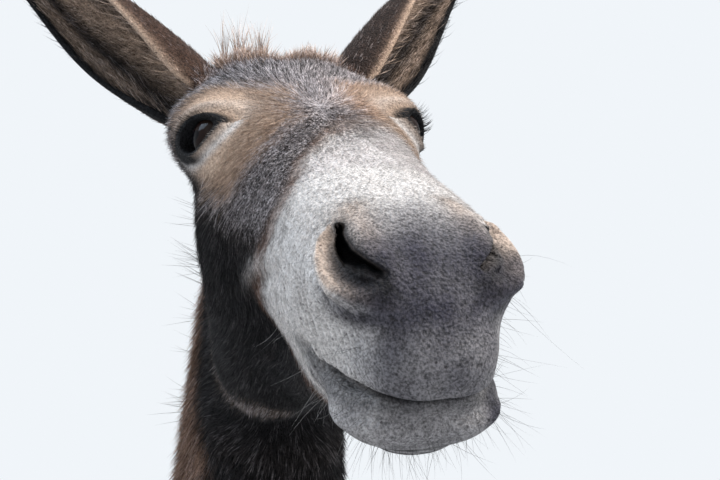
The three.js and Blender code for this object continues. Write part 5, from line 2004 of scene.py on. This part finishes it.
def hoof_shell(at, ridge, rows=30, count=56):
    """A hoof from its sloping upper edge to its sole: round at the toe, blunt at the heel."""
    angle = np.arange(count) / count * 2 * math.pi
    heelwards, wide = np.sin(angle), np.cos(angle)
    loops = []
    for row in range(rows):
        t = row / (rows - 1)
        flare = min(t / 0.94, 1)
        slope = math.radians(CORONET_SLOPE * (1 - t))
        reach = np.where(heelwards < 0, 0.038 + 0.016 * flare, 0.032 + 0.010 * flare)
        trim = 0.0003 + 0.003 * max(0, t - 0.96) / 0.04 + 0.0012 * max(0, 0.06 - t) / 0.06
        ring = ridge * math.sin(34 * t + 2 * math.sin(5 * t)) * (1 - t) ** 0.5
        power = np.where(heelwards < 0, 1.0, 0.8)
        along = np.sign(heelwards) * np.abs(heelwards) ** power * (reach - trim + ring)
        across = wide * (0.036 + 0.009 * flare - trim + ring)
        loops.append(
            np.stack(
                (
                    at[0] + across,
                    at[1] - 0.022 * t + along * math.cos(slope),
                    CORONET * (1 - t) - along * math.sin(slope),
                ),
                1,
            )
        )
    points = np.concatenate(loops + [[(at[0], at[1], CORONET)], [(at[0], at[1] - 0.022, 0.0)]])
    last, top, sole = (rows - 1) * count, rows * count, rows * count + 1
    faces = []
    for a in range(count):
        b = (a + 1) % count
        faces += [(row + a, row + count + a, row + count + b, row + b) for row in range(0, last, count)]
        faces += [(top, a, b), (sole, last + b, last + a)]
    return points, faces


class SetStage(bpy.types.Operator):
    """Set the floor, the soft light and the camera"""

    bl_idname = "donkey.stage"
    bl_label = "Stage"

    def execute(self, context):
        sizes = context.scene.donkey_stage
        floor = new_mesh("floor", [(-9, -9, 0), (9, -9, 0), (9, 9, 0), (-9, 9, 0)], [(0, 1, 2, 3)])
        dress(floor, "floor")
        world = bpy.data.worlds.new("sky")
        world.use_nodes = True
        world.node_tree.nodes["Background"].inputs["Color"].default_value = (0.92, 0.96, 1.0, 1)
        world.node_tree.nodes["Background"].inputs["Strength"].default_value = sizes.sky
        context.scene.world = world
        context.scene.view_settings.view_transform = "Standard"
        head = Vector(from_head((0.08, 0.0, -0.04)) + SHIFT)
        for name, place, wide, power, colour in (
            ("key", (1.3, -2.6, 3.1), 2.2, sizes.key, (1.0, 0.98, 0.95)),
            ("fill", (-1.9, -0.6, 3.4), 1.2, sizes.key * 0.28, (0.62, 0.80, 1.0)),
        ):
            light = bpy.data.lights.new(name, "AREA")
            light.energy, light.size, light.color = power, wide, colour
            lamp = add_object(name, light)
            lamp.location = place
            lamp.rotation_euler = (head - lamp.location).to_track_quat("-Z", "Y").to_euler()
        view = bpy.data.cameras.new("camera")
        view.lens, view.sensor_width, view.clip_start = sizes.lens, 36.0, 0.01
        camera = add_object("camera", view)
        ways = [np.array(v) @ HEAD for v in (CAMERA_RIGHT, CAMERA_UP, CAMERA_BACK)]
        turn = Matrix([Vector(v) for v in ways]).transposed().to_4x4()
        turn.translation = Vector(from_head(CAMERA_AT) + SHIFT)
        camera.matrix_world = turn
        context.scene.camera = camera
        return {"FINISHED"}


# The camera in the head's frame: where it is, and which ways are right, up and back.
CAMERA_AT = (0.7302, -0.1705, 0.1498)
CAMERA_RIGHT = (0.2691, 0.9628, 0.0229)
CAMERA_UP = (-0.2872, 0.0575, 0.9561)
CAMERA_BACK = (0.9193, -0.2639, 0.2920)

STEPS = (
    BuildSkin, GrowCoat, GrowMane, GrowForelock, GrowTail, GrowEarHair,
    GrowWhiskers, GrowLashes, BuildEyes, BuildHooves, SetStage,
)
SETTINGS = {
    "donkey_skin": SkinSettings,
    "donkey_coat": CoatSettings,
    "donkey_hair": HairSettings,
    "donkey_eyes": EyeSettings,
    "donkey_hooves": HoofSettings,
    "donkey_stage": StageSettings,
}


class DonkeyPanel(bpy.types.Panel):
    """The donkey's pieces and their sizes"""

    bl_idname = "VIEW3D_PT_donkey"
    bl_label = "Donkey"
    bl_space_type = "VIEW_3D"
    bl_region_type = "UI"
    bl_category = "Donkey"

    def draw(self, context):
        for name, group in SETTINGS.items():
            box = self.layout.box()
            for key in group.__annotations__:
                box.prop(getattr(context.scene, name), key)
        for step in STEPS:
            self.layout.operator(step.bl_idname)


def register():
    for kind in (*SETTINGS.values(), *STEPS, DonkeyPanel):
        bpy.utils.register_class(kind)
    for name, group in SETTINGS.items():
        setattr(bpy.types.Scene, name, PointerProperty(type=group))


def unregister():
    for name in SETTINGS:
        delattr(bpy.types.Scene, name)
    for kind in reversed((*SETTINGS.values(), *STEPS, DonkeyPanel)):
        bpy.utils.unregister_class(kind)


def main():
    register()
    for step in (
        bpy.ops.donkey.skin, bpy.ops.donkey.coat, bpy.ops.donkey.mane, bpy.ops.donkey.forelock,
        bpy.ops.donkey.tail, bpy.ops.donkey.ear_hair, bpy.ops.donkey.whiskers, bpy.ops.donkey.lashes,
        bpy.ops.donkey.eyes, bpy.ops.donkey.hooves, bpy.ops.donkey.stage,
    ):
        step()


if __name__ == "__main__":
    main()
